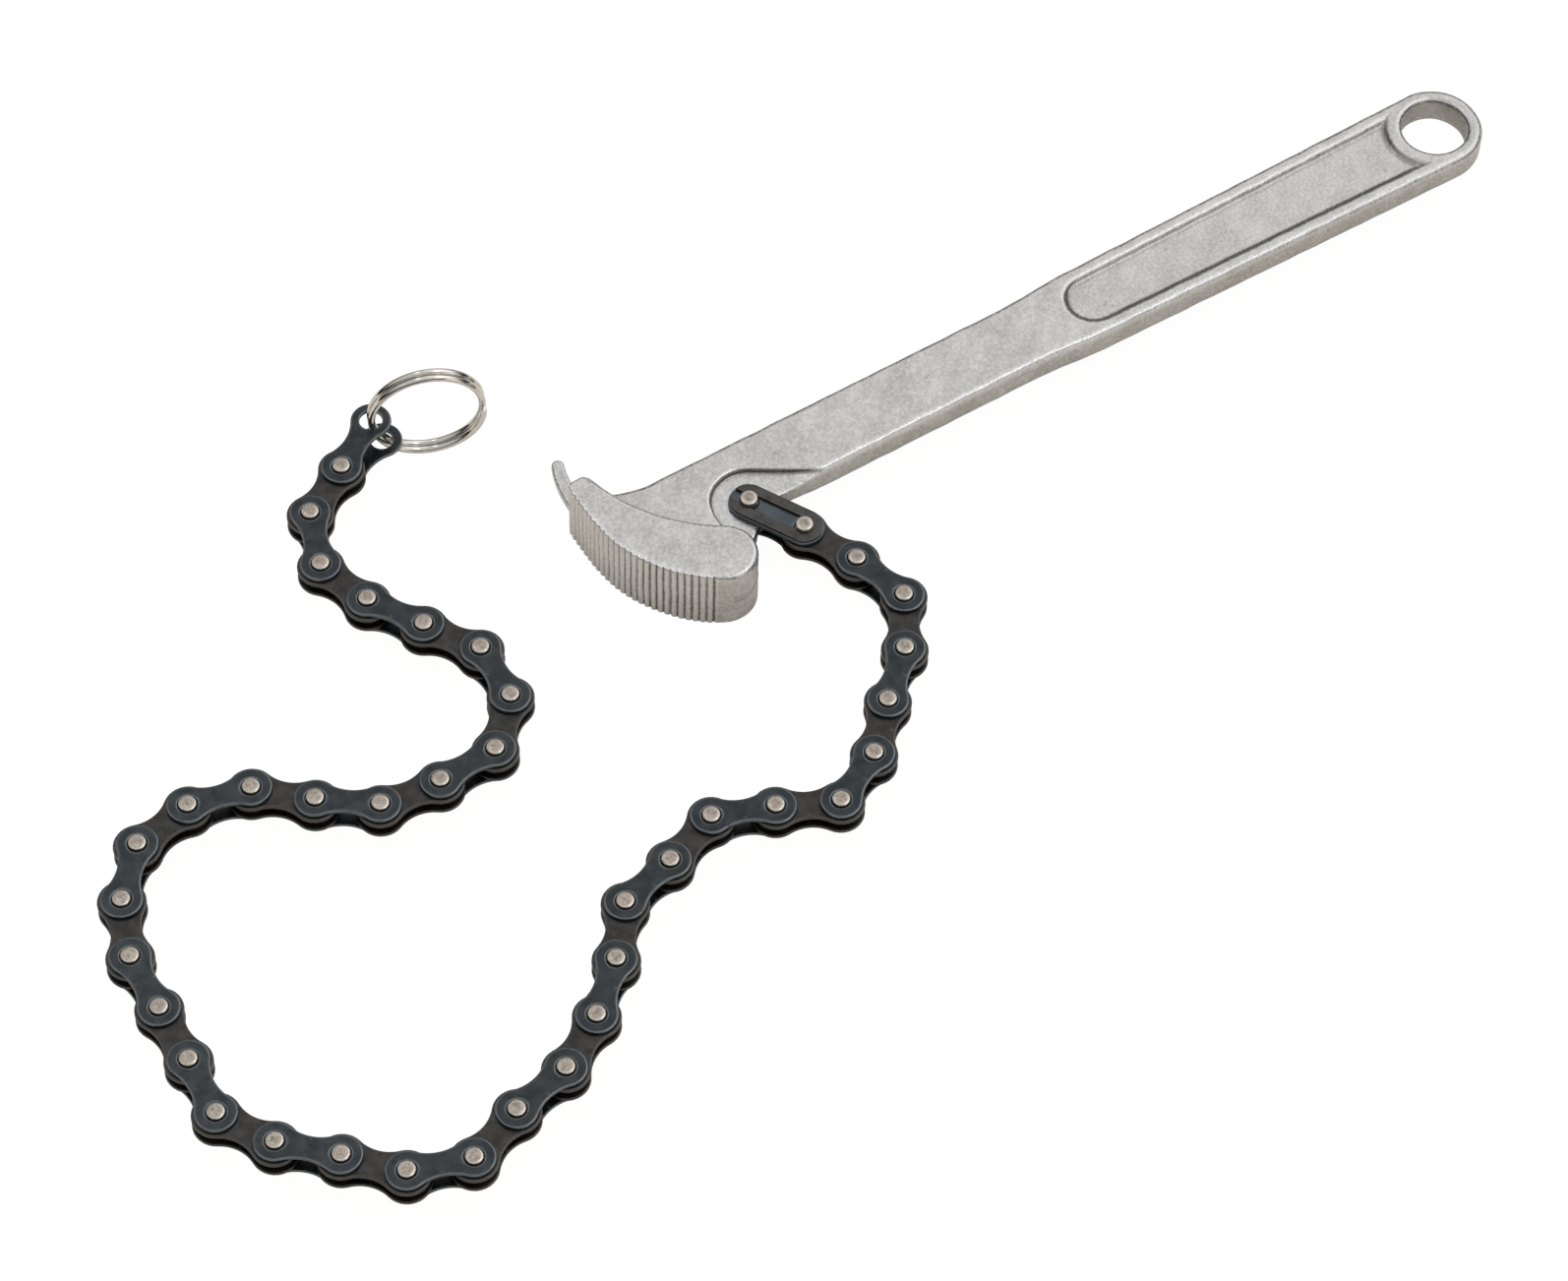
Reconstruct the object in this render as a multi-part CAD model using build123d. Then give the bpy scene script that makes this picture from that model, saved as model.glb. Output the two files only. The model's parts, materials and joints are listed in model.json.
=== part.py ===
from build123d import *

import math
import os

# Chain oil filter wrench. Millimetres. The origin is the centre of the hanging hole at half
# thickness, +X points along the handle away from the jaw, and +Z is the axis of every chain pin.

# Handle, measured from the hanging hole towards the jaw
BODY_THICKNESS = 6.8
EDGE_ROUND = 1.4
HOLE_RADIUS = 7.0
HOLE_RIM_ROUND = 1.0
END_RADIUS = 10.2
GRIP_LENGTH = 90.0
GRIP_START_HALF_WIDTH = 8.9
SHOULDER_LENGTH = 14.0
SHANK_HALF_WIDTH = 7.9
SHANK_END = 189.0
JAW_FILLET_RADIUS = 18.0

# Panel recess on each side of the grip
PANEL_DEPTH = 1.1
PANEL_SLOPE = 35.0
PANEL_LENGTH = 86.8
PANEL_START_HALF_WIDTH = 6.1
PANEL_END_HALF_WIDTH = 7.3
HOLE_LAND = 3.0

# Pivot lug for the chain's first pin, thinned by a pocket on each side
PIVOT_X = -174.4
PIVOT_Y = -6.3
LUG_RADIUS = 7.0
LUG_FILLET_RADIUS = 2.5
LUG_WEB_ANGLE = 255.0
NOSE_WEB_ANGLE = 10.0
POCKET_RADIUS = 7.7
POCKET_END_X = -158.8
POCKET_END_Y = -7.0

# Jaw
JAW_THICKNESS = 16.0
FACE_RADIUS = 31.0
FACE_CENTRE_X = -174.5
FACE_CENTRE_Y = 4.0
FACE_END_ANGLE = 240.0
FACE_FLAT = 9.2
NOSE_RADIUS = 6.6
BACK_RADIUS = 39.1
TIP_WIDTH = 5.0
TIP_RISE = 0.4
TIP_ROUND = 1.0
TOOTH_PITCH = 1.5
TOOTH_DEPTH = 0.6
TOOTH_FREE_ARC = 4.0

# Hook finger that holds the chain, in the middle plane of the jaw
FINGER_THICKNESS = 2.2
FINGER_WIDTH = 3.6
FINGER_SETBACK = 0.4
FINGER_LENGTH = 10.6
FINGER_TIP_REACH = 3.7
FINGER_TIP_RADIUS = 1.3
FINGER_LEAN = 18.0
FINGER_BOW = 0.7

# Roller chain
PITCH = 12.7
LINK_COUNT = 39
INNER_WIDTH = 2.38
PLATE_THICKNESS = 0.8
PLATE_CLEARANCE = 0.1
OUTER_END_RADIUS = 4.15
OUTER_WAIST = 2.5
INNER_END_RADIUS = 4.75
INNER_WAIST = 3.0
PIN_RADIUS = 1.8
PIN_PROUD = 0.67
PIN_CHAMFER = 0.25
BUSH_RADIUS = 2.5
BUSH_CLEARANCE = 0.08
ROLLER_RADIUS = 3.875
ROLLER_CLEARANCE = 0.08
ROLLER_SIDE_CLEARANCE = 0.06

# Connecting link
CONNECTING_PIN_EXTRA = 0.85
CLIP_THICKNESS = 0.6
CLIP_RADIUS = 3.85
CLIP_SLOT_WIDTH = 2.3
CLIP_SPLIT_WIDTH = 1.3
CLIP_CLEARANCE = 0.05
GROOVE_RADIUS = 1.35

# End link and split ring
END_PLATE_TWIST = 5.5
RING_HOLE_RADIUS = 2.6
RING_RADIUS = 11.4
RING_WIRE = 1.5
RING_TURNS = 2
RING_TURN_GAP = 0.05
RING_LIFT = 4.4
RING_DIRECTION = -20.7

# The chain's lie: heading of the connecting link, then the turn at each pin after it, in degrees
FIRST_HEADING = -61
TURNS = [
    -6, -8, -47, -16, 3, -18, -53, 5, 41, -4, 35, -9, -10, -19, 8, -40, -28, 3, -16,
    -35, 2, 0, -18, -21, -36, -25, -30, 6, 31, 9, 43, 41, 35, -1, -14, -37, -39, -4,
]

# Heights of the chain's layers above its middle plane
INNER_PLATE_Z = INNER_WIDTH / 2
OUTER_PLATE_Z = INNER_PLATE_Z + PLATE_THICKNESS + PLATE_CLEARANCE
OUTER_PLATE_TOP = OUTER_PLATE_Z + PLATE_THICKNESS
PIN_TOP = OUTER_PLATE_TOP + PIN_PROUD
LUG_THICKNESS = 2 * (OUTER_PLATE_Z - PLATE_CLEARANCE)
PIN_BORE_RADIUS = PIN_RADIUS + BUSH_CLEARANCE


def polar(radius, angle):
    """A vector of a length and a direction in degrees."""
    return Vector(radius * math.cos(math.radians(angle)), radius * math.sin(math.radians(angle)))


def bearing(vector):
    """The direction of a vector in degrees."""
    return math.degrees(math.atan2(vector.Y, vector.X))


def slab(face, low, high):
    """A flat outline raised between two heights."""
    return Pos(0, 0, low) * extrude(face, high - low, dir=(0, 0, 1))


def disc(centre, radius):
    return Pos(centre.X, centre.Y) * Circle(radius)


def polygon(*points):
    return make_face(Polyline(*points, close=True))


# Jaw outline: flat and round working face, round nose, hollow back and a short square tip
PIVOT = Vector(PIVOT_X, PIVOT_Y)
FACE_CENTRE = Vector(FACE_CENTRE_X, FACE_CENTRE_Y)
NOSE_CENTRE = FACE_CENTRE + polar(FACE_RADIUS - NOSE_RADIUS, FACE_END_ANGLE)
TIP_FRONT = FACE_CENTRE + Vector(-FACE_RADIUS, FACE_FLAT)
TIP_BACK = TIP_FRONT + Vector(TIP_WIDTH, TIP_RISE)


def back_centre():
    """The centre of the jaw's hollow back: it touches the nose and passes the tip's back corner."""
    reach = BACK_RADIUS + NOSE_RADIUS
    span = TIP_BACK - NOSE_CENTRE
    length = span.length
    along = (reach**2 - BACK_RADIUS**2 + length**2) / (2 * length)
    side = math.sqrt(reach**2 - along**2)
    unit = span.normalized()
    return NOSE_CENTRE + unit * along + Vector(unit.Y, -unit.X) * side


BACK_CENTRE = back_centre()


def jaw_outline():
    """The jaw seen along the pins, without its serrations."""
    face_low = FACE_CENTRE + polar(FACE_RADIUS, FACE_END_ANGLE)
    face_top = FACE_CENTRE + Vector(-FACE_RADIUS, 0)
    face_mid = FACE_CENTRE + polar(FACE_RADIUS, (180 + FACE_END_ANGLE) / 2)
    nose_end_angle = bearing(BACK_CENTRE - NOSE_CENTRE)
    nose_end = NOSE_CENTRE + polar(NOSE_RADIUS, nose_end_angle)
    nose_mid = NOSE_CENTRE + polar(NOSE_RADIUS, (FACE_END_ANGLE - 360 + nose_end_angle) / 2)
    back_start = bearing(nose_end - BACK_CENTRE) % 360
    back_end = bearing(TIP_BACK - BACK_CENTRE) % 360
    back_mid = BACK_CENTRE + polar(BACK_RADIUS, (back_start + back_end) / 2)
    edges = [
        Line(TIP_FRONT, face_top),
        ThreePointArc(face_top, face_mid, face_low),
        ThreePointArc(face_low, nose_mid, nose_end),
        ThreePointArc(nose_end, back_mid, TIP_BACK),
        Line(TIP_BACK, TIP_FRONT),
    ]
    outline = make_face(edges)
    corners = [v for v in outline.vertices() if v.Y > face_top.Y + FACE_FLAT / 2]
    return fillet(corners, TIP_ROUND)


def serrations():
    """The notches between the teeth, spaced along the working face from the tip to the nose."""
    arc = math.radians(FACE_END_ANGLE - 180) * FACE_RADIUS
    count = int((FACE_FLAT - TIP_ROUND + arc - TOOTH_FREE_ARC) / TOOTH_PITCH)
    notches = []
    for number in range(count):
        way = FACE_FLAT - TIP_ROUND - (number + 0.5) * TOOTH_PITCH
        if way > 0:
            centre, heading = FACE_CENTRE + Vector(-FACE_RADIUS, way), 180.0
        else:
            heading = 180 + math.degrees(-way / FACE_RADIUS)
            centre = FACE_CENTRE + polar(FACE_RADIUS, heading)
        notch = polygon((-TOOTH_DEPTH, 0), (TOOTH_DEPTH, TOOTH_PITCH), (TOOTH_DEPTH, -TOOTH_PITCH))
        notches.append(Pos(centre.X, centre.Y) * Rot(0, 0, heading) * notch)
    return notches


def jaw():
    outline = jaw_outline()
    for notch in serrations():
        outline -= notch
    return slab(outline, -JAW_THICKNESS / 2, JAW_THICKNESS / 2)


def finger():
    """The hook: a flat curved prong that carries on the line of the working face."""
    root_left = TIP_FRONT + Vector(FINGER_SETBACK, -2 * TIP_ROUND)
    root_right = root_left + Vector(FINGER_WIDTH, 0)
    tip_centre = TIP_FRONT + Vector(FINGER_TIP_REACH, FINGER_LENGTH - FINGER_TIP_RADIUS)
    tip_left = tip_centre + polar(FINGER_TIP_RADIUS, 180 - FINGER_LEAN)
    tip_right = tip_centre + polar(FINGER_TIP_RADIUS, -FINGER_LEAN)
    bow = Vector(-FINGER_BOW, 0)
    edges = [
        ThreePointArc(root_left, (root_left + tip_left) * 0.5 + bow, tip_left),
        ThreePointArc(tip_left, tip_centre + polar(FINGER_TIP_RADIUS, 90 - FINGER_LEAN), tip_right),
        ThreePointArc(tip_right, (root_right + tip_right) * 0.5 + bow, root_right),
        Line(root_right, root_left),
    ]
    return slab(make_face(edges), -FINGER_THICKNESS / 2, FINGER_THICKNESS / 2)


def blank_outline():
    """The flat part of the forging: grip, shoulders, shank, lug and the web behind the jaw."""
    shoulder = -GRIP_LENGTH - SHOULDER_LENGTH
    end_tangent = math.degrees(math.acos((END_RADIUS - GRIP_START_HALF_WIDTH) / GRIP_LENGTH))
    touch = polar(END_RADIUS, end_tangent)
    grip = polygon(
        (touch.X, touch.Y), (-GRIP_LENGTH, GRIP_START_HALF_WIDTH), (shoulder, SHANK_HALF_WIDTH),
        (shoulder, -SHANK_HALF_WIDTH), (-GRIP_LENGTH, -GRIP_START_HALF_WIDTH), (touch.X, -touch.Y),
    )
    shank = polygon(
        (shoulder, SHANK_HALF_WIDTH), (-SHANK_END, SHANK_HALF_WIDTH),
        (TIP_FRONT.X + TIP_WIDTH / 2, FACE_CENTRE_Y), (NOSE_CENTRE.X, NOSE_CENTRE.Y),
        (PIVOT_X, PIVOT_Y), (PIVOT_X, -SHANK_HALF_WIDTH), (shoulder, -SHANK_HALF_WIDTH),
    )
    outline = grip + Circle(END_RADIUS) + shank + disc(PIVOT, LUG_RADIUS)

    # hollow corner between the far edge and the back of the jaw
    corner = Vector(-SHANK_END, SHANK_HALF_WIDTH + JAW_FILLET_RADIUS)
    deep = TIP_BACK.X
    top = corner.Y - math.sqrt(JAW_FILLET_RADIUS**2 - (corner.X - deep) ** 2)
    web = polygon((-SHANK_END, SHANK_HALF_WIDTH), (-SHANK_END, 0), (deep, 0), (deep, top))
    outline += web - disc(corner, JAW_FILLET_RADIUS)

    # hollow corner between the lug and the near edge of the shank
    drop = -SHANK_HALF_WIDTH - LUG_FILLET_RADIUS
    reach = math.sqrt((LUG_RADIUS + LUG_FILLET_RADIUS) ** 2 - (drop - PIVOT_Y) ** 2)
    hollow = Vector(PIVOT_X + reach, drop)
    fill = polygon((PIVOT_X, PIVOT_Y), (hollow.X, drop), (hollow.X, PIVOT_Y))
    outline += fill - disc(hollow, LUG_FILLET_RADIUS)

    # narrow web between the nose and the lug
    low = PIVOT + polar(LUG_RADIUS, LUG_WEB_ANGLE)
    nose = NOSE_CENTRE + polar(NOSE_RADIUS, NOSE_WEB_ANGLE)
    outline += polygon((PIVOT_X, PIVOT_Y), (low.X, low.Y), (nose.X, nose.Y), (NOSE_CENTRE.X, NOSE_CENTRE.Y))
    return outline


def pocket_outline():
    """The side pocket that lets the connecting link's plates turn beside the lug."""
    end = Vector(POCKET_END_X, POCKET_END_Y)
    span = end - PIVOT
    opening = math.degrees(math.acos(POCKET_RADIUS / span.length))
    touch = PIVOT + polar(POCKET_RADIUS, bearing(span) + opening)
    below = NOSE_CENTRE.Y - NOSE_RADIUS
    left = PIVOT_X - POCKET_RADIUS
    wedge = polygon(
        (touch.X, touch.Y), (end.X, end.Y), (end.X, below), (left, below), (left, PIVOT_Y),
        (PIVOT_X, PIVOT_Y),
    )
    return wedge + disc(PIVOT, POCKET_RADIUS)


def panel_outline():
    """The grip's recess: round at the shank end and cut hollow round the hanging hole."""
    start = polar(PANEL_START_HALF_WIDTH, 90)
    sides = polygon(
        (-PANEL_LENGTH, start.Y), (-HOLE_RADIUS, PANEL_END_HALF_WIDTH),
        (-HOLE_RADIUS, -PANEL_END_HALF_WIDTH), (-PANEL_LENGTH, -start.Y),
    )
    round_end = Pos(-PANEL_LENGTH, 0) * Circle(PANEL_START_HALF_WIDTH)
    return sides + round_end - Circle(HOLE_RADIUS + HOLE_LAND)


def is_open_rim(edge):
    """Whether an edge of the flat forging is on the grip, the shank or the corner behind the jaw."""
    middle = edge.center()
    beside_jaw = middle.Y > SHANK_HALF_WIDTH - EDGE_ROUND and middle.X > TIP_BACK.X + TIP_ROUND
    return middle.X > PIVOT_X or beside_jaw


def wrench_body():
    half = BODY_THICKNESS / 2
    blank = slab(blank_outline(), -half, half)
    rims = [e for e in blank.edges() if abs(abs(e.center().Z) - half) < 1e-6 and is_open_rim(e)]
    blank = fillet(rims, EDGE_ROUND)

    pocket = pocket_outline()
    panel = panel_outline()
    for side in (1, -1):
        floor = side * LUG_THICKNESS / 2
        blank -= slab(pocket, min(floor, floor + side * half), max(floor, floor + side * half))
        sunk = extrude(Pos(0, 0, half) * panel, -PANEL_DEPTH, taper=PANEL_SLOPE, dir=(0, 0, 1))
        blank -= sunk if side > 0 else mirror(sunk, about=Plane.XY)

    blank -= Cylinder(HOLE_RADIUS, 2 * BODY_THICKNESS)
    bore = [
        e for e in blank.edges().filter_by(GeomType.CIRCLE)
        if abs(e.radius - HOLE_RADIUS) < 1e-6 and abs(abs(e.center().Z) - half) < 1e-6
    ]
    blank = fillet(bore, HOLE_RIM_ROUND)
    body = blank + jaw() + finger()
    body -= Pos(PIVOT_X, PIVOT_Y) * Cylinder(PIN_BORE_RADIUS, BODY_THICKNESS)
    return body


def waisted(end_radius, waist, holes):
    """A chain plate's outline from the origin to (PITCH, 0): round ends and hollow sides."""
    hollow = (PITCH**2 / 4 + waist**2 - end_radius**2) / (2 * (end_radius - waist))
    centre = Vector(PITCH / 2, waist + hollow)
    start = centre.normalized() * end_radius
    far = Vector(PITCH - start.X, start.Y)
    outline = make_face([
        ThreePointArc(start, Vector(-end_radius, 0), Vector(start.X, -start.Y)),
        ThreePointArc(Vector(start.X, -start.Y), Vector(PITCH / 2, -waist), Vector(far.X, -far.Y)),
        ThreePointArc(Vector(far.X, -far.Y), Vector(PITCH + end_radius, 0), far),
        ThreePointArc(far, Vector(PITCH / 2, waist), start),
    ])
    for x, radius in zip((0, PITCH), holes):
        outline -= Pos(x, 0) * Circle(radius)
    return outline


def plate_pair(outline, low):
    """The upper and lower plates of one link."""
    return [
        slab(outline, low, low + PLATE_THICKNESS),
        slab(outline, -low - PLATE_THICKNESS, -low),
    ]


def pin(x, bottom, top):
    """A riveted pin with slightly broken ends."""
    body = Pos(x, 0, (bottom + top) / 2) * Cylinder(PIN_RADIUS, top - bottom)
    return chamfer(body.edges().filter_by(GeomType.CIRCLE), PIN_CHAMFER)


def ring_piece(x, outer, inner, height):
    """A short tube on a pin's axis: a bush or a roller."""
    face = Circle(outer) - Circle(inner)
    return Pos(x, 0) * slab(face, -height / 2, height / 2)


def outer_link():
    plates = plate_pair(waisted(OUTER_END_RADIUS, OUTER_WAIST, (PIN_RADIUS, PIN_RADIUS)), OUTER_PLATE_Z)
    return plates + [pin(x, -PIN_TOP, PIN_TOP) for x in (0, PITCH)]


def inner_link():
    plates = plate_pair(waisted(INNER_END_RADIUS, INNER_WAIST, (BUSH_RADIUS, BUSH_RADIUS)), INNER_PLATE_Z)
    across = INNER_WIDTH + 2 * PLATE_THICKNESS
    bushes = [ring_piece(x, BUSH_RADIUS, PIN_BORE_RADIUS, across) for x in (0, PITCH)]
    bore = BUSH_RADIUS + ROLLER_CLEARANCE
    height = INNER_WIDTH - 2 * ROLLER_SIDE_CLEARANCE
    rollers = [ring_piece(x, ROLLER_RADIUS, bore, height) for x in (0, PITCH)]
    return plates + bushes + rollers


# Heights of the spring clip, which lies on the cover plate in the grooves of the long pins
CLIP_BOTTOM = OUTER_PLATE_TOP + CLIP_CLEARANCE
CLIP_TOP = CLIP_BOTTOM + CLIP_THICKNESS
LONG_PIN_TOP = PIN_TOP + CONNECTING_PIN_EXTRA


def long_pin(x):
    """A connecting pin with the groove for the spring clip near its top."""
    body = pin(x, -PIN_TOP, LONG_PIN_TOP)
    low, high = CLIP_BOTTOM - CLIP_CLEARANCE, CLIP_TOP + CLIP_CLEARANCE
    groove = Circle(2 * PIN_RADIUS) - Circle(GROOVE_RADIUS)
    return body - Pos(x, 0) * slab(groove, low, high)


def connecting_pin_plate():
    outline = waisted(OUTER_END_RADIUS, OUTER_WAIST, (PIN_RADIUS, PIN_RADIUS))
    plate = slab(outline, -OUTER_PLATE_TOP, -OUTER_PLATE_Z)
    return [plate, long_pin(0), long_pin(PITCH)]


def straight_outline(radius):
    """A straight-sided outline with round ends, from the origin to (PITCH, 0)."""
    middle = Pos(PITCH / 2, 0) * Rectangle(PITCH, 2 * radius)
    return middle + Circle(radius) + Pos(PITCH, 0) * Circle(radius)


def connecting_cover_plate():
    outline = straight_outline(OUTER_END_RADIUS)
    for x in (0, PITCH):
        outline -= Pos(x, 0) * Circle(PIN_RADIUS + CLIP_CLEARANCE)
    return [slab(outline, OUTER_PLATE_Z, OUTER_PLATE_TOP)]


def spring_clip():
    """A flat clip with a window between the pins, split at the end over the handle's pivot."""
    grip = GROOVE_RADIUS + CLIP_CLEARANCE
    outline = straight_outline(CLIP_RADIUS)
    outline -= Circle(grip) + Pos(PITCH, 0) * Circle(grip)
    outline -= Pos(PITCH / 2, 0) * Rectangle(PITCH, CLIP_SLOT_WIDTH)
    outline -= Pos(-CLIP_RADIUS / 2, 0) * Rectangle(CLIP_RADIUS, CLIP_SPLIT_WIDTH)
    return [slab(outline, CLIP_BOTTOM, CLIP_TOP)]


def end_plate(upper):
    """One of the last two plates, turned on the pin and drilled for the ring."""
    low = OUTER_PLATE_Z if upper else -OUTER_PLATE_TOP
    outline = waisted(OUTER_END_RADIUS, OUTER_WAIST, (PIN_RADIUS, RING_HOLE_RADIUS))
    plate = slab(outline, low, low + PLATE_THICKNESS)
    return [Rot(0, 0, END_PLATE_TWIST if upper else -END_PLATE_TWIST) * plate]


def split_ring(joint, heading):
    """Two turns of wire standing on edge, threaded through both holes of the end link."""
    plate_z = OUTER_PLATE_Z + PLATE_THICKNESS / 2
    reach_up = math.sqrt(RING_RADIUS**2 - (RING_LIFT - plate_z) ** 2)
    reach_down = math.sqrt(RING_RADIUS**2 - (RING_LIFT + plate_z) ** 2)
    hole = joint + polar(PITCH * math.cos(math.radians(END_PLATE_TWIST)), heading)
    centre = hole + polar((reach_up + reach_down) / 2, RING_DIRECTION)
    rise = RING_WIRE + RING_TURN_GAP
    path = Helix(rise, rise * RING_TURNS, RING_RADIUS)
    start = Plane(origin=path @ 0, z_dir=path % 0)
    wire = sweep(start * Circle(RING_WIRE / 2), path=path)
    wire = Pos(0, 0, -rise * RING_TURNS / 2) * wire
    return [Pos(centre.X, centre.Y, RING_LIFT) * Rot(0, 0, RING_DIRECTION) * Rot(90, 0, 0) * wire]


def write(name, solids, place=None):
    """Write one node's solids to parts/NAME.step, moved to their place in the chain."""
    if place is not None:
        solids = [place * s for s in solids]
    export_step(Compound(children=[s.solid() for s in solids]), f"parts/{name}.step")


def main():
    os.makedirs("parts", exist_ok=True)
    write("wrench_body", [wrench_body()])

    headings = [FIRST_HEADING]
    for turn in TURNS:
        headings.append(headings[-1] + turn)
    joints = [PIVOT]
    for heading in headings:
        joints.append(joints[-1] + polar(PITCH, heading))

    inner, outer = inner_link(), outer_link()
    for number in range(LINK_COUNT):
        joint, heading = joints[number], headings[number]
        place = Pos(joint.X, joint.Y) * Rot(0, 0, heading)
        if number == 0:
            write("connecting_pin_plate", connecting_pin_plate(), place)
            write("connecting_cover_plate", connecting_cover_plate(), place)
            write("spring_clip", spring_clip(), place)
        elif number == LINK_COUNT - 1:
            write("end_plate_upper", end_plate(True), place)
            write("end_plate_lower", end_plate(False), place)
            write("end_pin", [pin(0, -PIN_TOP, PIN_TOP)], place)
            write("split_ring", split_ring(joint, heading))
        elif number % 2:
            write(f"inner_link_{(number + 1) // 2:02d}", inner, place)
        else:
            write(f"outer_link_{number // 2:02d}", outer, place)


main()
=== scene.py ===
"""Looks of the chain oil filter wrench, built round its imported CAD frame.

Shapes are worked out in millimetres in the frame's axes and become metres when a mesh is made.
"""
import json
import logging
import math
from dataclasses import dataclass, field, replace
from enum import Enum

import bmesh
import bpy
import numpy as np
from mathutils import Matrix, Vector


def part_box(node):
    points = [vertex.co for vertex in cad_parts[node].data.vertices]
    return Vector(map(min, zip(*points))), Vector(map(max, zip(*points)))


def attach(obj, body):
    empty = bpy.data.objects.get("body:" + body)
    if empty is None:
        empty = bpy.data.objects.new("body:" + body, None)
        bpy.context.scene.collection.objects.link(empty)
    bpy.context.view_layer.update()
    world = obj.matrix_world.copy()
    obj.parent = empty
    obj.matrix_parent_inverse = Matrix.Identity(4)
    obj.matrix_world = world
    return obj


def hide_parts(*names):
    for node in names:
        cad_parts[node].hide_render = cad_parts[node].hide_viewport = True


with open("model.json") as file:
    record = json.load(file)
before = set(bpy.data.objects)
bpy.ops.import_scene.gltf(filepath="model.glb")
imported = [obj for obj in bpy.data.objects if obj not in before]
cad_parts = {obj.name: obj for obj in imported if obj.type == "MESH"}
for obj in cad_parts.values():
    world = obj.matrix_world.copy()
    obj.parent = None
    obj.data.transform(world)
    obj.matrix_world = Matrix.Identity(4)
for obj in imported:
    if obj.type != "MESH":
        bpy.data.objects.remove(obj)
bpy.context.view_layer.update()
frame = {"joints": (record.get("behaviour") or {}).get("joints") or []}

MM = 0.001
# Points within this length are one, and the grid that finds them is shifted off round numbers
WELD = 1e-4
WELD_SHIFT = 0.137
SHARP_ANGLE = math.radians(42)

# The dies' parting line: a faint ridge at half height on the walls whose rims are well rounded
SEAM_HEIGHT = 0.09
SEAM_SHARE = 0.03
SEAM_RIM = 0.9

# How much shallower a tooth is where its edge runs into the face
TOOTH_RUNOUT = 0.45

# Height of the forging's long waves
HAMMER_HEIGHT = 0.022

# How far a quarter round of radius 1 lies inside its corner, along each side, at 45 degrees
BEND = 1 - math.sqrt(0.5)

# The split ring's turn about +Z in degrees
RING_DIRECTION = -20.7

LOG = logging.getLogger("wrench")

Array = np.ndarray


class Height(Enum):
    """The two faces of a flat piece."""

    UPPER = 1
    LOWER = -1


class Flank(Enum):
    """How the sides of a chain plate run between its round ends."""

    WAISTED = "waisted"
    STRAIGHT = "straight"


def polar(radius: float | Array, angle: float | Array) -> Array:
    """Points at a radius and an angle in degrees, as pairs."""
    turn = np.radians(angle)
    return np.stack(np.broadcast_arrays(radius * np.cos(turn), radius * np.sin(turn)), axis=-1)


def arc(centre: Array, radius: float, start: float, end: float, count: int) -> Array:
    """Points evenly spaced on an arc, from one angle in degrees to another."""
    return np.asarray(centre) + polar(radius, np.linspace(start, end, count))


def bearing(vector: Array) -> float:
    """The direction of a plane vector in degrees."""
    return math.degrees(math.atan2(vector[1], vector[0]))


def ramp(value: Array, low: float, high: float) -> Array:
    """A smooth step from 0 at low to 1 at high: 3t² - 2t³ of the way t between them."""
    way = np.clip((value - low) / (high - low), 0, 1)
    return way * way * (3 - 2 * way)


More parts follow.
